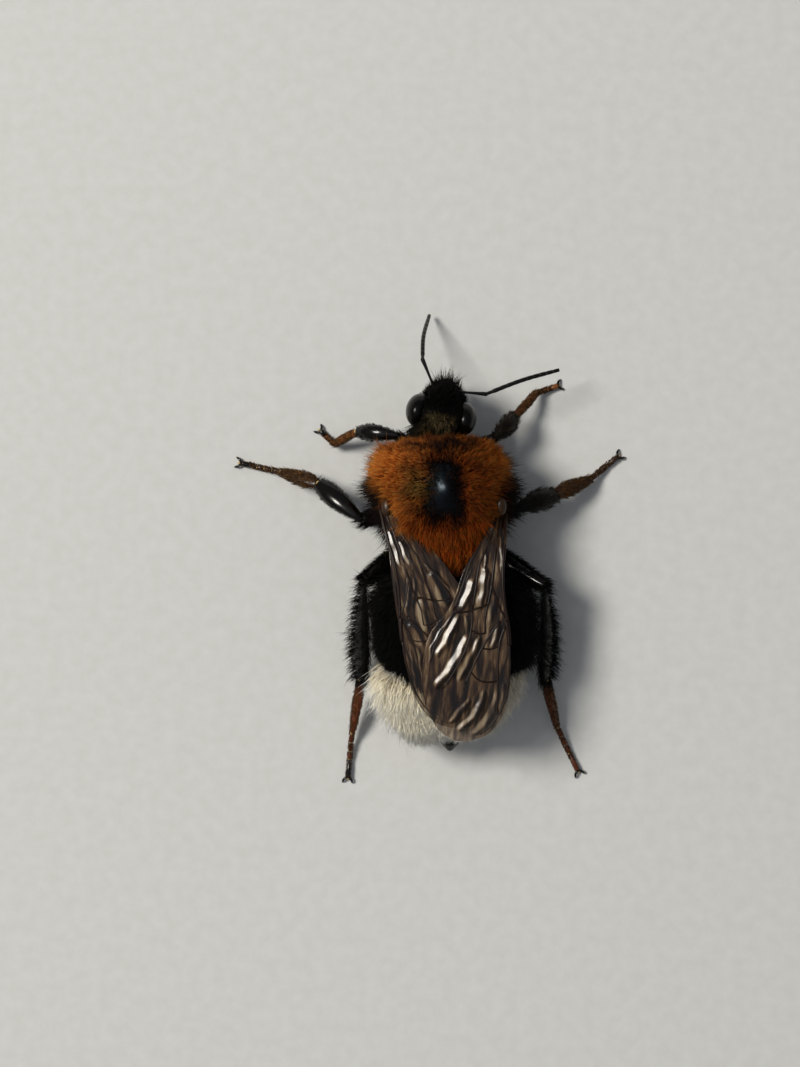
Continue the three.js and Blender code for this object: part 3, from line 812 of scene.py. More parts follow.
def buildWing(name, wing):
    bm = bmesh.new()
    long, wide = wingPlans[wing["plan"]]["grid"]
    bmesh.ops.create_grid(bm, x_segments=long, y_segments=wide, size=1)
    flat = np.array([v.co for v in bm.verts])
    t, w = (flat[:, 0] + 1) / 2, (flat[:, 1] + 1) / 2
    spot = wingEdge(wing, "rear", t) * (1 - w)[:, None] + wingEdge(wing, "front", t) * w[:, None]
    for vert, point in zip(bm.verts, wingSpot(name, spot[:, 0], spot[:, 1])):
        vert.co = point
    smoothFaces(bm.faces)
    bmesh.ops.recalc_face_normals(bm, faces=bm.faces)
    bmesh.ops.solidify(bm, geom=bm.faces[:], thickness=wingThick)
    film = finishPiece(f"{name}_membrane", bm, [wingMembrane], "wing_membrane", [name])
    co = np.zeros(len(film.data.vertices) * 3)
    film.data.vertices.foreach_get("co", co)
    co = co.reshape(-1, 3) / mm - [startX, startY, 0]
    reach, across = wingPlace(wing, co[:, 0], co[:, 1])
    paintedPleatLight = wingRelief(name, reach, across)[1]
    for key, values in (("reach", reach), ("across", across), ("paintedPleatLight", paintedPleatLight)):
        setLayer(film.data, key, values)
    bm = bmesh.new()
    for line, start, end in veins[wing["plan"]]:
        run = curvePoint(line, np.linspace(0, 1, 4 * len(line)))
        path = wingSpot(name, run[:, 0], run[:, 1])
        addRod(bm, path, [start, (start + end) / 2, end], 8, 4 * len(line), flat=0.7)
    finishPiece(f"{name}_veins", bm, [veinBrown], "wing_membrane")


def buildWingScale(name, side):
    bm = bmesh.new()
    tilt = Matrix.Rotation(side * wingScales["tilt"], 4, "Y")
    addBall(bm, wingScales["spots"][name], wingScales["half"], tilt, 24, 14)
    finishPiece(f"wing_scale_{name}", bm, [shellUmber], "cuticle_brown", [f"tegula_{name}"])


for name, wing in wings.items():
    buildWing(name, wing)
for name, side in sides:
    buildWingScale(name, side)
print("wings made")


# Legs.

# The joints of each leg: hip, knee, ankle, heel and claws.
legs = {
    "front_left": [(0.85, -2.0, 1.9), (1.85, -2.98, 2.55), (3.78, -3.21, 1.65), (4.88, -2.68, 0.6),
                   (5.62, -3.4, 0.08)],
    "front_right": [(-1.1, -2.0, 1.9), (-2.61, -2.86, 2.7), (-3.61, -3.91, 1.6), (-4.64, -5.08, 0.6),
                    (-5.85, -5.5, 0.06)],
    "middle_left": [(1.1, 0.2, 1.7), (3.51, 0.92, 2.8), (5.56, -0.78, 1.75), (7.38, -1.36, 0.6),
                    (9.6, -1.85, 0.06)],
    "middle_right": [(-1.5, 0.2, 1.7), (-3.46, 0.46, 2.9), (-5.48, -0.26, 1.65), (-7.19, -1.03, 0.6),
                     (-8.74, -2.26, 0.06)],
    "hind_left": [(0.8, 1.9, 1.7), (3.42, 3.68, 3.6), (3.6, 8.39, 1.5), (4.03, 10.94, 0.6),
                  (4.27, 13.4, 0.06)],
    "hind_right": [(-1.5, 1.9, 1.7), (-4.89, 3.95, 3.6), (-5.05, 8.39, 1.5), (-5.63, 10.66, 0.6),
                   (-6.8, 13.1, 0.06)],
}
# For each pair: radii along each part, from its near end to its far end, and how flat the part is, the
# radius of a toe, which way the flat side faces on the left, the shin's bow, the spur, and the shells.
legShapes = {
    "front": {
        "femur": ([0.16, 0.3, 0.32, 0.24, 0.17], 0.85), "tibia": ([0.15, 0.28, 0.37, 0.36, 0.24], 0.75),
        "basitarsus": ([0.15, 0.19, 0.18, 0.16], 0.8), "toe": 0.12, "up": (0.3, 0, 1),
        "bow": 0.13, "spur": -0.05, "shell": 0, "dullRight": True,
    },
    "middle": {
        "femur": ([0.18, 0.34, 0.37, 0.28, 0.2], 0.85), "tibia": ([0.16, 0.34, 0.46, 0.47, 0.34], 0.7),
        "basitarsus": ([0.24, 0.34, 0.33, 0.26, 0.17], 0.6), "toe": 0.13, "up": (0, -0.3, 1),
        "bow": 0.09, "spur": 0.12, "shell": 4, "dullRight": True,
    },
    "hind": {
        "femur": ([0.18, 0.36, 0.38, 0.3, 0.22], 0.85),
        "tibia": ([0.15, 0.26, 0.38, 0.46, 0.48, 0.34], 0.4),
        "basitarsus": ([0.22, 0.3, 0.28, 0.24, 0.17], 0.5), "toe": 0.12, "up": (0.75, 0, 0.65),
        "bow": 0.09, "spur": 0.12, "shell": 1, "dullRight": False,
    },
}
claws = {
    "out": 0.16, "reach": 0.36, "spread": 0.24, "arch": 0.07, "tipHeight": 0.05,
    "radii": [0.065, 0.06, 0.045, 0.02], "toothRadii": [0.035, 0.03, 0.015], "pad": (0.08, 0.08, 0.05),
}
legForms = {}


# A small joint, slim where it starts and wide where the next one is set into it.
def addToe(bm, a, b, wide, slotIndex):
    addRod(bm, [a, a.lerp(b, 0.5), b], [wide * 0.5, wide * 0.75, wide, wide * 0.9], slotIndex=slotIndex)


# Two bent claws with a soft pad between them.
def addClaws(bm, a, b):
    ahead = (b - a).normalized()
    aside = ahead.cross(Vector((0, 0, 1))).normalized()
    for turn in (1, -1):
        out = ahead * claws["out"] + aside * turn * claws["spread"] * 0.7
        tip = ahead * claws["reach"] + aside * turn * claws["spread"]
        knuckle = a + out + Vector((0, 0, claws["arch"]))
        path = [a, knuckle, a + (out + tip) * 0.55 + Vector((0, 0, 0.04)), a + tip]
        path[-1].z = claws["tipHeight"]
        addRod(bm, path, claws["radii"], 8, 14, slotIndex=3)
        bent = knuckle + ahead * 0.1 + aside * turn * 0.02
        tooth = [knuckle, bent, knuckle + ahead * 0.15 - Vector((0, 0, 0.08))]
        addRod(bm, tooth, claws["toothRadii"], 6, 8, slotIndex=3)
    pad = a + ahead * 0.12
    pad.z = max(pad.z - 0.03, 0.07)
    addBall(bm, pad, claws["pad"], slotIndex=2)


# Hip, thigh and shin, with a spur at the ankle.
def buildShank(name, side, shape, points):
    hip, knee, ankle, heel = points[:4]
    forms = legForms[name]
    bm = bmesh.new()
    root = hip + (Vector((float(middleX(hip.y)), hip.y, 2.6)) - hip) * 0.6
    addRod(bm, [root, root.lerp(hip, 0.6), hip], [0.42, 0.46, 0.36, 0.24], 20, 16)
    start = hip.lerp(knee, 0.1)
    addRod(bm, [hip, start], [0.2, 0.24, 0.2], 16, 10)
    widths, flat = shape["femur"]
    arch = start.lerp(knee, 0.5) + Vector((0, 0, 0.1))
    forms["femur"] = addRod(bm, [start, arch, knee], widths, 20, 22, 0, flat)
    widths, flat = shape["tibia"]
    bow = knee.lerp(ankle, 0.5) + Vector((side * 0.06, -0.04, shape["bow"]))
    dull = 2 if side < 0 and shape["dullRight"] else 0
    forms["tibia"] = addRod(bm, [knee, bow, ankle], widths, 28, 30, dull, flat, forms["up"])
    addBall(bm, ankle, (0.15, 0.15, 0.15), slotIndex=1)
    spurEnd = ankle.lerp(heel, 0.2) + Vector((0, shape["spur"], -0.22))
    addRod(bm, [ankle + Vector((0, 0, -0.05)), spurEnd], [0.05, 0.04, 0.015], 8, 8, slotIndex=1)
    finishPiece(f"leg_{name}_shank", bm, [shellBlack, shellPale, shellDull], "cuticle_black",
                [f"leg_{name}_femur", f"leg_{name}_tibia"])


# The long first joint of the foot, three short ones, a longer last one and the claws.
def buildFoot(name, side, shape, points):
    ankle, heel, claw = points[2:]
    forms = legForms[name]
    bm = bmesh.new()
    main, toe = shape["shell"], shape["toe"]
    widths, flat = shape["basitarsus"]
    first = ankle.lerp(heel, 0.04)
    arch = first.lerp(heel, 0.5) + Vector((0, 0, 0.04))
    forms["basitarsus"] = addRod(bm, [first, arch, heel], widths, 20, 22, main, flat, forms["up"])
    addBall(bm, heel, (0.1, 0.1, 0.1), slotIndex=2)
    droop = claw - heel
    ends = [heel + Vector((droop.x * share, droop.y * share, droop.z * fall))
            for share, fall in ((0, 0), (0.17, 0.3), (0.34, 0.55), (0.5, 0.72), (0.84, 0.72))]
    for i in range(3):
        a = ends[i] if i == 0 else ends[i].lerp(ends[i + 1], 0.06)
        addToe(bm, a, ends[i + 1], toe, main)
        addBall(bm, ends[i + 1], (toe * 0.75,) * 3, slotIndex=2)
    last = [ends[3], ends[3].lerp(ends[4], 0.5) + Vector((0, 0, 0.05)), ends[4]]
    addRod(bm, last, [0.06, 0.08, 0.12, 0.13], 12, 16, slotIndex=3 if side > 0 else main)
    addClaws(bm, ends[4], claw)
    around = [[0, 0, 0], [0.05, toe, toe], [0.95, toe, toe], [1, 0, 0]]
    forms["toes"] = makeForm([tuple(p) for p in ends], around)
    shells = [shellBrown, shellRust, shellPale, shellBlack, shellUmber]
    finishPiece(f"foot_{name}", bm, shells, "cuticle_brown", [f"leg_{name}_basitarsus", f"leg_{name}_foot"])


for name, leg in legs.items():
    points = [Vector(point) for point in leg]
    side = 1 if name.endswith("left") else -1
    shape = legShapes[name.split("_")[0]]
    upX, upY, upZ = shape["up"]
    legForms[name] = {"up": (side * upX, upY, upZ)}
    buildShank(name, side, shape, points)
    buildFoot(name, side, shape, points)
print("legs made")


# The last plate of the tail, which narrows to the sting's sheath.
tailTip = {
    "plate": [(-0.55, 10.3, 2.44), (-0.55, 11.0, 2.36), (-0.55, 11.6, 2.2)], "flat": 0.72,
    "radii": [0.64, 0.6, 0.48, 0.16],
    "sheath": [(-0.55, 11.4, 2.2), (-0.55, 11.68, 2.13)], "sheathRadii": [0.06, 0.04, 0.02],
}


def buildTailTip():
    bm = bmesh.new()
    addRod(bm, tailTip["plate"], tailTip["radii"], 28, 24, flat=tailTip["flat"])
    addRod(bm, tailTip["sheath"], tailTip["sheathRadii"], 8, 8)
    finishPiece("tail_tip", bm, [shellBlack], "cuticle_black", ["sting"])


buildTailTip()
print("tail tip made")


# Coat: hairs as solid, bent, pointed rods that grow out of the forms.

# One hair with three sides: its points, whose third number runs along it, its faces and its own flat map.
def hairPattern():
    bm = bmesh.new()
    bmesh.ops.create_cone(bm, cap_ends=True, segments=3, radius1=1, radius2=0, depth=1,
                          matrix=Matrix.Translation((0, 0, 0.5)))
    bmesh.ops.remove_doubles(bm, verts=bm.verts, dist=1e-5)
    bmesh.ops.bisect_plane(bm, geom=bm.verts[:] + bm.edges[:] + bm.faces[:], dist=1e-6,
                           plane_co=(0, 0, 0.45), plane_no=(0, 0, 1))
    for vert in bm.verts:
        if 0.1 < vert.co.z < 0.9:
            vert.co.x *= 1.5
            vert.co.y *= 1.5
    bmesh.ops.triangulate(bm, faces=bm.faces)
    bmesh.ops.recalc_face_normals(bm, faces=bm.faces)
    bm.verts.index_update()
    points = np.array([v.co for v in bm.verts])
    faces = np.array([[v.index for v in f.verts] for f in bm.faces])
    bm.free()
    flat = []
    for corner in points[faces]:
        if corner[:, 2].max() < 0.01:  # the foot of the hair
            flat.append(0.5 + corner[:, :2] * 0.12 - (0.0, 0.3))
            continue
        turn = np.arctan2(corner[:, 1], corner[:, 0]) / (2 * np.pi) % 1
        tipped = corner[:, 2] > 0.99
        if np.ptp(turn[~tipped]) > 0.5:
            turn = np.where(turn < 0.5, turn + 1, turn)
        turn = np.where(tipped, turn[~tipped].mean(), turn)
        flat.append(np.stack([turn / 1.7, 0.4 + corner[:, 2] * 0.6], -1))
    return points, faces, np.array(flat)


hairPoints, hairFaces, hairFlat = hairPattern()


# Random roots, evenly spread over a form's area or by a density.
def sampleForm(form, count, density=None, cell=(0, 0, 1, 1)):
    s = dice.random(count * 8)
    turn = dice.random(count * 8) * 2 * np.pi
    point, normal, along, area = formFrame(form, s, turn)
    weight = np.maximum(area * (1 if density is None else density(point, normal)), 0)
    picked = dice.choice(len(s), size=count, replace=False, p=weight / weight.sum())
    u0, v0, u1, v1 = cell
    flat = np.stack([u0 + (u1 - u0) * turn[picked] / (2 * np.pi), v0 + (v1 - v0) * s[picked]], -1)
    return {"root": point[picked], "normal": normal[picked], "along": along[picked], "flat": flat}


# How deep a hair starts in the skin, and how far it stays off the floor and the wings, in mm.
hairRoot = 0.03
floorGap = 0.03
wingGap = 0.07


# Grows one coat from its roots. A coat's dictionary has the number of hairs, the meshes they are split over,
# length and width in mm, lift (0 is flat and 1 upright), how far hairs stray, curl down and differ in
# length, how many share a tuft and how far these lean together. The other values are one for each hair.
def growCoat(name, roots, coat, length, lift, lie, markAndShade=0.0, toneAndLight=0.5, wornAndSheen=0.0):
    root, normal = roots["root"], roots["normal"]
    count = len(root)
    lift = np.broadcast_to(lift, count)[:, None]
    start = unit(normal * lift + lie * (1 - lift)) + dice.normal(0, coat["scatter"], (count, 3))
    down = lift - coat["curl"]
    end = unit(normal * down + lie * (1 - down)) + dice.normal(0, coat["scatter"] * 1.4, (count, 3))
    length = length * (1 + dice.normal(0, coat["spread"], count).clip(-0.5, 0.5))
    width = coat["width"] * (0.8 + 0.4 * dice.random(count))
    foot = root - normal * hairRoot
    bend = foot + unit(start) * length[:, None] * 0.5
    tip = bend + unit(end) * length[:, None] * 0.5
    # Each tuft leans towards its first hair.
    heads = np.arange(0, count, coat["tuft"])
    tree = KDTree(len(heads))
    for i, h in enumerate(heads):
        tree.insert(root[h], i)
    tree.balance()
    tuft = np.array([tree.find(p)[1] for p in root])
    head = heads[tuft]
    apart = root - root[head]
    gather = coat["gather"] * dice.random((count, 1)) ** 0.5
    tip = tip + (tip[head] + apart * 0.4 - tip) * gather
    bend = bend + (bend[head] + apart * 0.7 - bend) * gather * 0.5
    for place in (bend, tip):  # below the wings and above the floor
        roof = lowestWing(place[:, 0], place[:, 1]) - wingGap
        under = root[:, 2] < roof + 0.05
        place[:, 2] = np.where(under, np.minimum(place[:, 2], roof), place[:, 2])
        place[:, 2] = np.maximum(place[:, 2], floorGap)
    across = unit(np.cross(start, dice.normal(0, 1, (count, 3))))
    other = np.cross(unit(tip - foot), across)
    t = hairPoints[:, 2]
    low, high = (t < 0.1)[None, :, None], (t > 0.9)[None, :, None]
    line = np.where(low, foot[:, None], np.where(high, tip[:, None], bend[:, None]))
    ring = hairPoints[None, :, 0:1] * across[:, None] + hairPoints[None, :, 1:2] * other[:, None]
    co = (line + width[:, None, None] * ring + [startX, startY, 0]) * mm
    toneAndLight = np.broadcast_to(toneAndLight, count) * 0.35 + dice.random(count) * 0.3
    toneAndLight = toneAndLight + dice.random(len(heads))[tuft] * 0.35
    markAndShade = np.clip(np.broadcast_to(markAndShade, count), 0, 1)
    looks = {"toneAndLight": toneAndLight, "markAndShade": markAndShade, "wornAndSheen": np.broadcast_to(wornAndSheen, count)}
    order = dice.permutation(count)
    for i in range(coat["pieces"]):
        chosen = np.sort(order[i::coat["pieces"]])
        many, corners = len(chosen), len(hairPoints)
        faces = (hairFaces[None] + (np.arange(many) * corners)[:, None, None]).reshape(-1, 3)
        mesh = bpy.data.meshes.new(f"{name}_{i + 1}")
        mesh.vertices.add(many * corners)
        mesh.vertices.foreach_set("co", co[chosen].reshape(-1))
        mesh.loops.add(faces.size)
        mesh.loops.foreach_set("vertex_index", faces.reshape(-1).astype(np.int32))
        mesh.polygons.add(len(faces))
        mesh.polygons.foreach_set("loop_start", np.arange(0, faces.size, 3, dtype=np.int32))
        mesh.polygons.foreach_set("use_smooth", np.ones(len(faces), bool))
        mesh.update(calc_edges=True)
        patch = roots["flat"][chosen][:, None, None] * 0.996 + 0.0005 + hairFlat[None] * 0.003
        layer = mesh.uv_layers.new(name="OFBake")
        layer.data.foreach_set("uv", patch.reshape(-1).astype(np.float32))
        setLayer(mesh, "along", np.tile(t, many))
        for key, values in looks.items():
            setLayer(mesh, key, np.repeat(values[chosen], corners))
        showMesh(f"{name}_{i + 1}", mesh, [coat["material"]], coat["slot"])
    print(name, count)


# Ginger chest, with longer hairs on its flanks and at the back, over the wings' roots. Places are a middle
# and a width in mm.
chestCoat = {
    "material": hairGinger, "slot": "coat_ginger", "count": 51000, "pieces": 3, "width": 0.017,
    "length": 0.62, "flankLonger": 0.27, "darkLonger": 0.3, "backLonger": 0.5, "frontShorter": 0.16,
    "rightShorter": 0.3, "hingeShorter": 0.4, "hingeX": (2, 0.45), "hingeY": (0.05, 0.6),
    "lift": 0.68, "backFlatter": 0.36, "middle": (-0.33, -0.4, 3.6), "scatter": 0.24, "curl": 0.3,
    "spread": 0.3, "tuft": 11, "gather": 0.55,
    "rust": 0.6, "haloRust": 0.5, "frontRust": 0.45, "patchRust": 0.35, "goldenSheen": 0.6, "darker": 1.2,
    "wornX": (0.8, 0.5), "wornY": (-0.6, 0.6),
}


def chestDensity(point, _):
    core = bareCore(point) + 0.3 * (patchy(point, 0.5) - 0.5)
    thin = 0.5 + 0.5 * ramp(core, 0.1, 0.5)
    return ramp(core, -0.3, 0.1) * thin * ramp(-point[..., 1], -3.2, -2.7)


def coatChest():
    coat = chestCoat
    roots = sampleForm(chestForm, coat["count"], chestDensity)
    point = roots["root"]
    x, y, z = axes(point)
    toLeft, toBack, _ = axes(roots["normal"])
    flank = ramp(np.abs(toLeft), 0.3, 0.9)
    front = ramp(-toBack, 0.35, 0.8)
    back = ramp(y, 0.4, 2.2)
    away = unit((point - coat["middle"]) * [1, 1, 0.15])
    lie = away * (1 - 0.75 * back)[:, None] + roots["along"] * (0.3 + 0.9 * back)[:, None]
    lie += np.stack([-back * (x + 0.5) * 0.55, front * 0.35, front * 0.9], -1)
    core = bareCore(point)
    ginger = gingerMark(point)
    patches = patchy(point, 0.9) - 0.5
    length = coat["length"] + coat["flankLonger"] * flank + coat["backLonger"] * back
    length = length - coat["frontShorter"] * front * (1 - flank) + coat["darkLonger"] * (1 - ginger) * flank
    length = length * (1 - coat["rightShorter"] * ginger * ramp(-toLeft, 0.3, 0.9))
    length = length * (0.36 + 0.64 * ramp(core, -0.1, 0.9)) * (1 + 0.5 * patches)
    hinge = hill((x, *coat["hingeX"]), (y, *coat["hingeY"])) * ramp(z, 3.2, 4)
    length = length * (1 - coat["hingeShorter"] * hinge)  # short where the left wing is hinged
    # Rust brown round the bare patch, gold at the sides (partly painted sheen) and olive where the hair
    # shows wear, with painted shade on the lit left front and painted light on the shaded flanks.
    rim = np.maximum(ramp(np.hypot((x + 0.3) / 2.5, (y + 0.6) / 2.6), 0.55, 1.1), ramp(y, 0.8, 1.7))
    halo = (1 - ramp(core, 0.1, 0.6)) * (0.4 + 0.6 * ramp(y, -2.0, -1.5))
    wornAndSheen = hill((x, *coat["wornX"]), (y, *coat["wornY"]))
    rust = coat["rust"] * (1 - rim) + coat["haloRust"] * halo
    rust = rust + coat["frontRust"] * front * (1 - 0.4 * flank) - 0.3 * wornAndSheen
    lit = ramp(toLeft, 0.2, 0.8)
    # Painted shade: the front hairs on the lit left side are darkened.
    rust = rust + 0.2 * front * lit + coat["patchRust"] * patches + 0.3 * (dice.random(len(core)) - 0.5)
    # Painted light: the flank hairs are lightened, most on the shaded right side and least on the lit left.
    toneAndLight = ginger * (flank * (1 - 0.8 * lit) + 0.5 * ramp(-toLeft, 0.1, 0.6))
    toneAndLight = toneAndLight - coat["darker"] * (1 - ginger)  # darkest under the wings
    # Gold side hairs, partly their own colour and partly painted sheen where thin hairs catch the light;
    # they join the hairs with wear.
    goldenSheen = coat["goldenSheen"] * ramp(np.abs(toLeft), 0.6, 1.0) * ginger * (dice.random(len(core)) < 0.4)
    lift = coat["lift"] - coat["backFlatter"] * back + 0.15 * dice.random(len(core))
    growCoat("coat_chest", roots, coat, length, lift, unit(lie), np.maximum(1 - ginger, rust), toneAndLight,
             np.maximum(wornAndSheen * 0.9, goldenSheen))


# Black middle of the rear body.
rearCoat = {
    "material": hairBlack, "slot": "coat_black", "count": 34000, "pieces": 2, "width": 0.018,
    "length": 0.85, "sideLonger": 0.8, "leftShorter": 0.42, "lift": 0.42, "scatter": 0.2, "curl": 0.2,
    "spread": 0.3, "tuft": 10, "gather": 0.45,
}


def rearDensity(point, _):
    return (1 - creamMark(point)) * ramp(point[..., 1], 2.9, 3.4)


def coatRear():
    coat = rearCoat
    roots = sampleForm(rearForm, coat["count"], rearDensity)
    toLeft, y = roots["normal"][:, 0], roots["root"][:, 1]
    side = ramp(np.abs(toLeft), 0.3, 0.9)
    nearTail = ramp(y, 6.3, 7.6)
    length = (coat["length"] + coat["sideLonger"] * side * (1 - nearTail)) * (1 - 0.3 * nearTail)
    left = ramp(toLeft, 0.3, 0.8) * ramp(y, 4.0, 5.8)
    length = length * (1 - coat["leftShorter"] * left)  # the left shin stands clear of the body
    growCoat("coat_rear", roots, coat, length, coat["lift"] + 0.2 * side, roots["along"])


# Pale tail, with short dark hairs round its tip and painted shade on its right side.
tailCoat = {
    "material": hairCream, "slot": "coat_cream", "count": 26000, "pieces": 2, "width": 0.021,
    "length": 1.05, "sideLonger": 0.5, "endShorter": 0.4, "rightShorter": 0.35, "lift": 0.3,
    "scatter": 0.22, "curl": 0.1, "spread": 0.2, "tuft": 9, "gather": 0.4, "shade": 0.6,
    "tipX": (-0.6, 0.35), "ringX": (-0.55, 1.2), "ringZ": (2.35, 1.1),
}


def tailDensity(point, _):
    y = point[..., 1]
    return creamMark(point) * (y < 10.75) * (1 + ramp(y, 9.2, 10.2))


def coatTail():
    coat = tailCoat
    roots = sampleForm(rearForm, coat["count"], tailDensity)
    x, y, z = axes(roots["root"])
    toLeft = roots["normal"][:, 0]
    side = ramp(np.abs(toLeft), 0.2, 0.8)
    end = ramp(y, 9.6, 10.7)
    length = (coat["length"] + coat["sideLonger"] * side) * (1 - coat["endShorter"] * end)
    length = length * (1 - coat["endShorter"] * end * hill((x, *coat["tipX"])))
    length = length * (1 - coat["rightShorter"] * ramp(-toLeft, 0.2, 0.8))
    lie = roots["along"] * [1, 1, 0.35]
    lie[:, 2] = np.maximum(lie[:, 2], -0.2)
    # Painted shade: random hairs on the tail's right side take the dark colours.
    shade = coat["shade"] * ramp(-toLeft, 0.1, 0.8) * dice.random(len(end))
    markAndShade = np.maximum((1 - creamMark(roots["root"])) * 0.8, shade)
    tipRing = hill((x, *coat["ringX"]), (z, *coat["ringZ"])) * end
    markAndShade = np.maximum(markAndShade, ramp(tipRing + 0.3 * dice.random(len(end)), 0.5, 0.85))
    growCoat("coat_tail", roots, coat, length, coat["lift"] + 0.2 * side - 0.05 * end, unit(lie), markAndShade, 0.7)


# Black head, with longer hairs on the face and an olive band across the crown.
headCoat = {
    "material": hairBlack, "slot": "coat_black", "count": 16000, "pieces": 1, "width": 0.015,
    "length": 0.3, "faceLonger": 0.14, "faceTall": 0.85, "tallShare": 0.34, "cheekLonger": 0.6,
    "backLonger": 0.2, "mouthLength": 0.26, "lift": 0.6, "crownFlatter": 0.1, "scatter": 0.24,
    "curl": 0.15, "spread": 0.3, "tuft": 9, "gather": 0.6,
}


def headDensity(point, _):
    here = toHead(point)
    x, y, z = axes(here)
    keep = np.where(z > -1.5, 1, 0.4)
    for side in (1, -1):  # none on the eyes
        gap = (here - eyeCentre(side)) / np.array(headSettings["eyeHalf"])
        keep = keep * (np.linalg.norm(gap, axis=-1) > 0.98)
    shield = np.exp(-((x / 0.45) ** 4 + ((z + 0.9) / 0.4) ** 4)) * (y < -0.3)
    neck = (y > 0.4) & (np.hypot(x, z - 0.2) < 0.5)
    return keep * (1 - 0.9 * shield) * np.where(neck, 0.1, 1)


def coatHead():
    coat = headCoat
    roots = sampleForm(headForm, coat["count"], headDensity)
    x, y, z = axes(toHead(roots["root"]))
    crown = ramp(z, 0.7, 1.3)
    front = ramp(-y, 0.1, 0.7) * (1 - crown)
    cheek = ramp(x, 0.35, 0.8) * ramp(y, 0.1, 0.5) * ramp(z, -0.6, 0.2)
    lie = front[:, None] * (headSpin @ [0, -0.8, 0.35]) + (1 - front)[:, None] * (headSpin @ [0, 0.7, 0.3])
    lie = unit(lie + roots["normal"] * 0.2) + cheek[:, None] * (headSpin @ [1.6, 0.2, 0])
    longer = np.where(dice.random(len(x)) < coat["tallShare"], coat["faceTall"], coat["faceLonger"])
    length = coat["length"] + front * hill((x, 0, 0.55)) * longer + coat["cheekLonger"] * cheek
    length = np.where(z < -0.9, coat["mouthLength"], length + coat["backLonger"] * ramp(y, 0.2, 0.8))
    olive = crown * ramp(-np.abs(x), -0.8, -0.35) * ramp(y, -0.45, -0.1) * ramp(-y, -0.7, -0.2)
    olive = olive * (0.25 + 1.1 * patchy(roots["root"], 0.45)) * (dice.random(len(x)) > 0.35)
    growCoat("coat_head", roots, coat, length, coat["lift"] - coat["crownFlatter"] * crown, unit(lie), olive)


# Legs: short hairs, more and longer ones on the thighs, and a fringe along both edges of the hind shins.
legCoat = {
    "material": hairBlack, "slot": "coat_black", "count": 16000, "pieces": 1, "width": 0.013,
    "share": {"front": {"femur": 1, "tibia": 1}, "middle": {"femur": 2, "tibia": 1},
              "hind": {"femur": 4, "tibia": 3}},
    "thigh": {"front": 0.34, "middle": 0.6, "hind": 0.5}, "shin": 0.2, "fringe": (0.28, 0.5),
    "olive": {"front_right": 0.34, "middle_right": 0.34}, "lift": 0.4, "fringeLift": 0.55,
    "scatter": 0.18, "curl": 0.2, "spread": 0.2, "tuft": 6, "gather": 0.2,
}
footShare = {"basitarsus": 2, "toes": 1}
feetCoat = {
    "material": hairGold, "slot": "cuticle_brown", "count": 7000, "pieces": 1, "width": 0.015,
    "share": {"front": footShare, "middle": footShare, "hind": footShare},
    "length": {"front": 0.2, "middle": 0.3, "hind": 0.2}, "toeLength": 0.13, "lift": 0.35,
    "scatter": 0.15, "curl": 0.15, "spread": 0.2, "tuft": 6, "gather": 0.3,
}


# Dense on top of a leg part, and on both edges of a hind shin.
def legDensity(name, part):
    if name.startswith("hind") and part == "tibia":
        broad = unit(legForms[name]["up"])
        return lambda _, normal: 0.03 + ramp(-np.abs(normal @ broad), -0.75, -0.2)
    return lambda _, normal: 0.15 + ramp(-normal[:, 2], -0.6, 0.3)


# The roots on two parts of every leg, one part at a time, each in its own cell of the map.
def legRoots(coat, parts, densityOf):
    spots = [(name, name.split("_")[0], part) for name in legForms for part in parts]
    total = sum(coat["share"][kind][part] for _, kind, part in spots)
    for i, (name, kind, part) in enumerate(spots):
        count = coat["count"] * coat["share"][kind][part] // total
        column, row = i % 4, i // 4
        cell = (column / 4, row / 3, (column + 0.97) / 4, (row + 0.97) / 3)
        yield name, kind, part, sampleForm(legForms[name][part], count, densityOf(name, part), cell)


def growLegCoat(name, groups, coat):
    roots = {key: np.concatenate([group[key] for group in groups]) for key in groups[0]}
    growCoat(name, roots, coat, roots["length"], roots["lift"], roots["lie"], roots["markAndShade"])


def coatLegs():
    coat = legCoat
    groups = []
    for name, kind, part, roots in legRoots(coat, ("femur", "tibia"), legDensity):
        count = len(roots["root"])
        side = 1 if name.endswith("left") else -1
        plain = coat["thigh"][kind] if part == "femur" else coat["olive"].get(name, coat["shin"])
        length, lift, lie, markAndShade = np.full(count, plain), coat["lift"], roots["along"], np.zeros(count)
        if kind == "hind" and part == "tibia":
            length = coat["fringe"][0] + coat["fringe"][1] * dice.random(count)
            lift = coat["fringeLift"]
            lie = unit(lie * 0.7 + np.array([side * 0.9, 0.25, 0.1]) * 0.5)
        if name in coat["olive"] and part == "tibia":
            markAndShade = 0.85 * dice.random(count)
        groups.append({**roots, "length": length, "lift": np.full(count, lift), "lie": lie, "markAndShade": markAndShade})
    growLegCoat("coat_legs", groups, coat)


def coatFeet():
    coat = feetCoat
    groups = []
    for _, kind, part, roots in legRoots(coat, ("basitarsus", "toes"), lambda *_: None):
        count = len(roots["root"])
        length = np.full(count, coat["length"][kind] if part == "basitarsus" else coat["toeLength"])
        markAndShade = np.full(count, 0.6) if kind == "hind" else 0.45 + 0.4 * dice.random(count)
        lift = np.full(count, coat["lift"])
        groups.append({**roots, "length": length, "lift": lift, "lie": roots["along"], "markAndShade": markAndShade})
    growLegCoat("coat_feet", groups, coat)


coatChest()
coatRear()
coatTail()
coatHead()
coatLegs()
coatFeet()


# Floor, light and camera.

# Angles in degrees, sizes and distances in m, light as it falls on the floor. The camera's place is in mm.
studio = {
    "key": {"tilt": 37, "turn": 22, "size": 0.13, "strength": 2.45, "colour": "#FFFBF2"},
    "sky": {"tilt": 12, "turn": 20, "size": 0.6, "strength": 0.35, "colour": "#E4EEFF"},
    "lampDistance": 0.42, "roomLight": 0.2, "roomColour": "#EEF2F8",
    "lens": 85.5, "cameraSpot": (1.77, 1.54, 120), "floorHalf": 2.0,
}


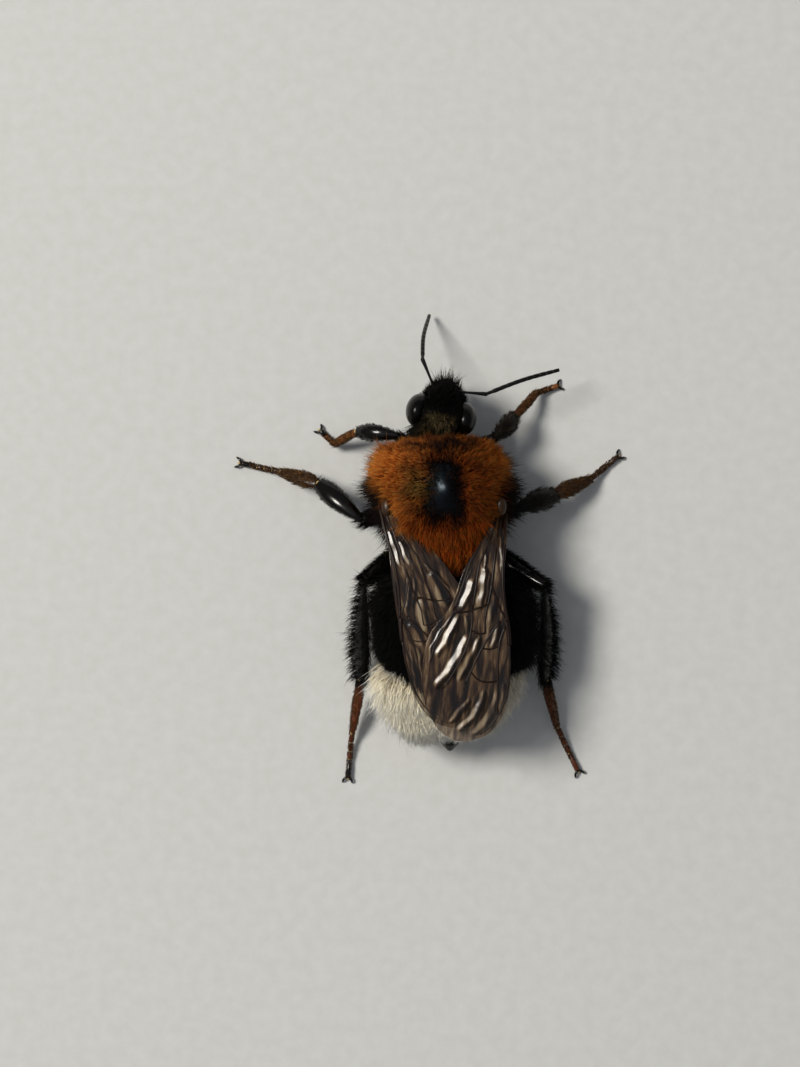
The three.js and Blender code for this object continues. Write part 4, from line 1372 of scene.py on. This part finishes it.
def buildFloor():
    bm = bmesh.new()
    bmesh.ops.create_grid(bm, x_segments=1, y_segments=1, size=studio["floorHalf"])
    floor = newObject("floor", newMesh("floor", bm))
    material, tree, shader = newMaterial("paleCard")
    fibre = addNode(tree, "TexNoise", {"Scale": perMm(0.6), "Detail": 3.0}, {"Vector": objectPlace(tree)})
    colour = addNode(tree, "ValToRGB", {"stops": [(0.3, "#C6C6C3"), (0.7, "#CCCCCA")]}, {"Fac": fibre})
    setNode(tree, shader, {"Roughness": 0.9}, {"Base Color": colour})
    floor.data.materials.append(material)


# A round area lamp, set by its angle from overhead and by the light that it gives on the floor.
def addLamp(name):
    lamp = studio[name]
    tilt, turn = math.radians(lamp["tilt"]), math.radians(lamp["turn"])
    direction = Vector((math.sin(tilt) * math.cos(turn), -math.sin(tilt) * math.sin(turn), math.cos(tilt)))
    reach = studio["lampDistance"]
    light = bpy.data.lights.new(name, "AREA")
    light.shape = "DISK"
    light.size = lamp["size"]
    light.energy = lamp["strength"] * math.pi * reach ** 2 / math.cos(tilt)
    light.color = hexColour(lamp["colour"])[:3]
    holder = newObject(name, light)
    holder.location = Vector((startX, startY + 2, 3)) * mm + direction * reach
    holder.rotation_euler = direction.to_track_quat("Z", "Y").to_euler()
    holder.visible_camera = False


def buildRoom():
    world = bpy.data.worlds.new("room")
    world.use_nodes = True
    background = world.node_tree.nodes["Background"]
    background.inputs["Color"].default_value = hexColour(studio["roomColour"])
    background.inputs["Strength"].default_value = studio["roomLight"]
    bpy.context.scene.world = world


def buildCamera():
    camera = bpy.data.cameras.new("camera")
    camera.lens = studio["lens"]
    camera.sensor_width = 36
    camera.clip_start = 0.005
    camera.clip_end = 10
    holder = newObject("camera", camera)
    holder.location = (Vector(studio["cameraSpot"]) + Vector((startX, startY, 0))) * mm
    holder.rotation_euler = (0, 0, math.pi)  # with the head at the top
    bpy.context.scene.camera = holder
    bpy.context.scene.view_settings.view_transform = "Standard"


buildFloor()
addLamp("key")
addLamp("sky")
buildRoom()
buildCamera()
print("studio made")
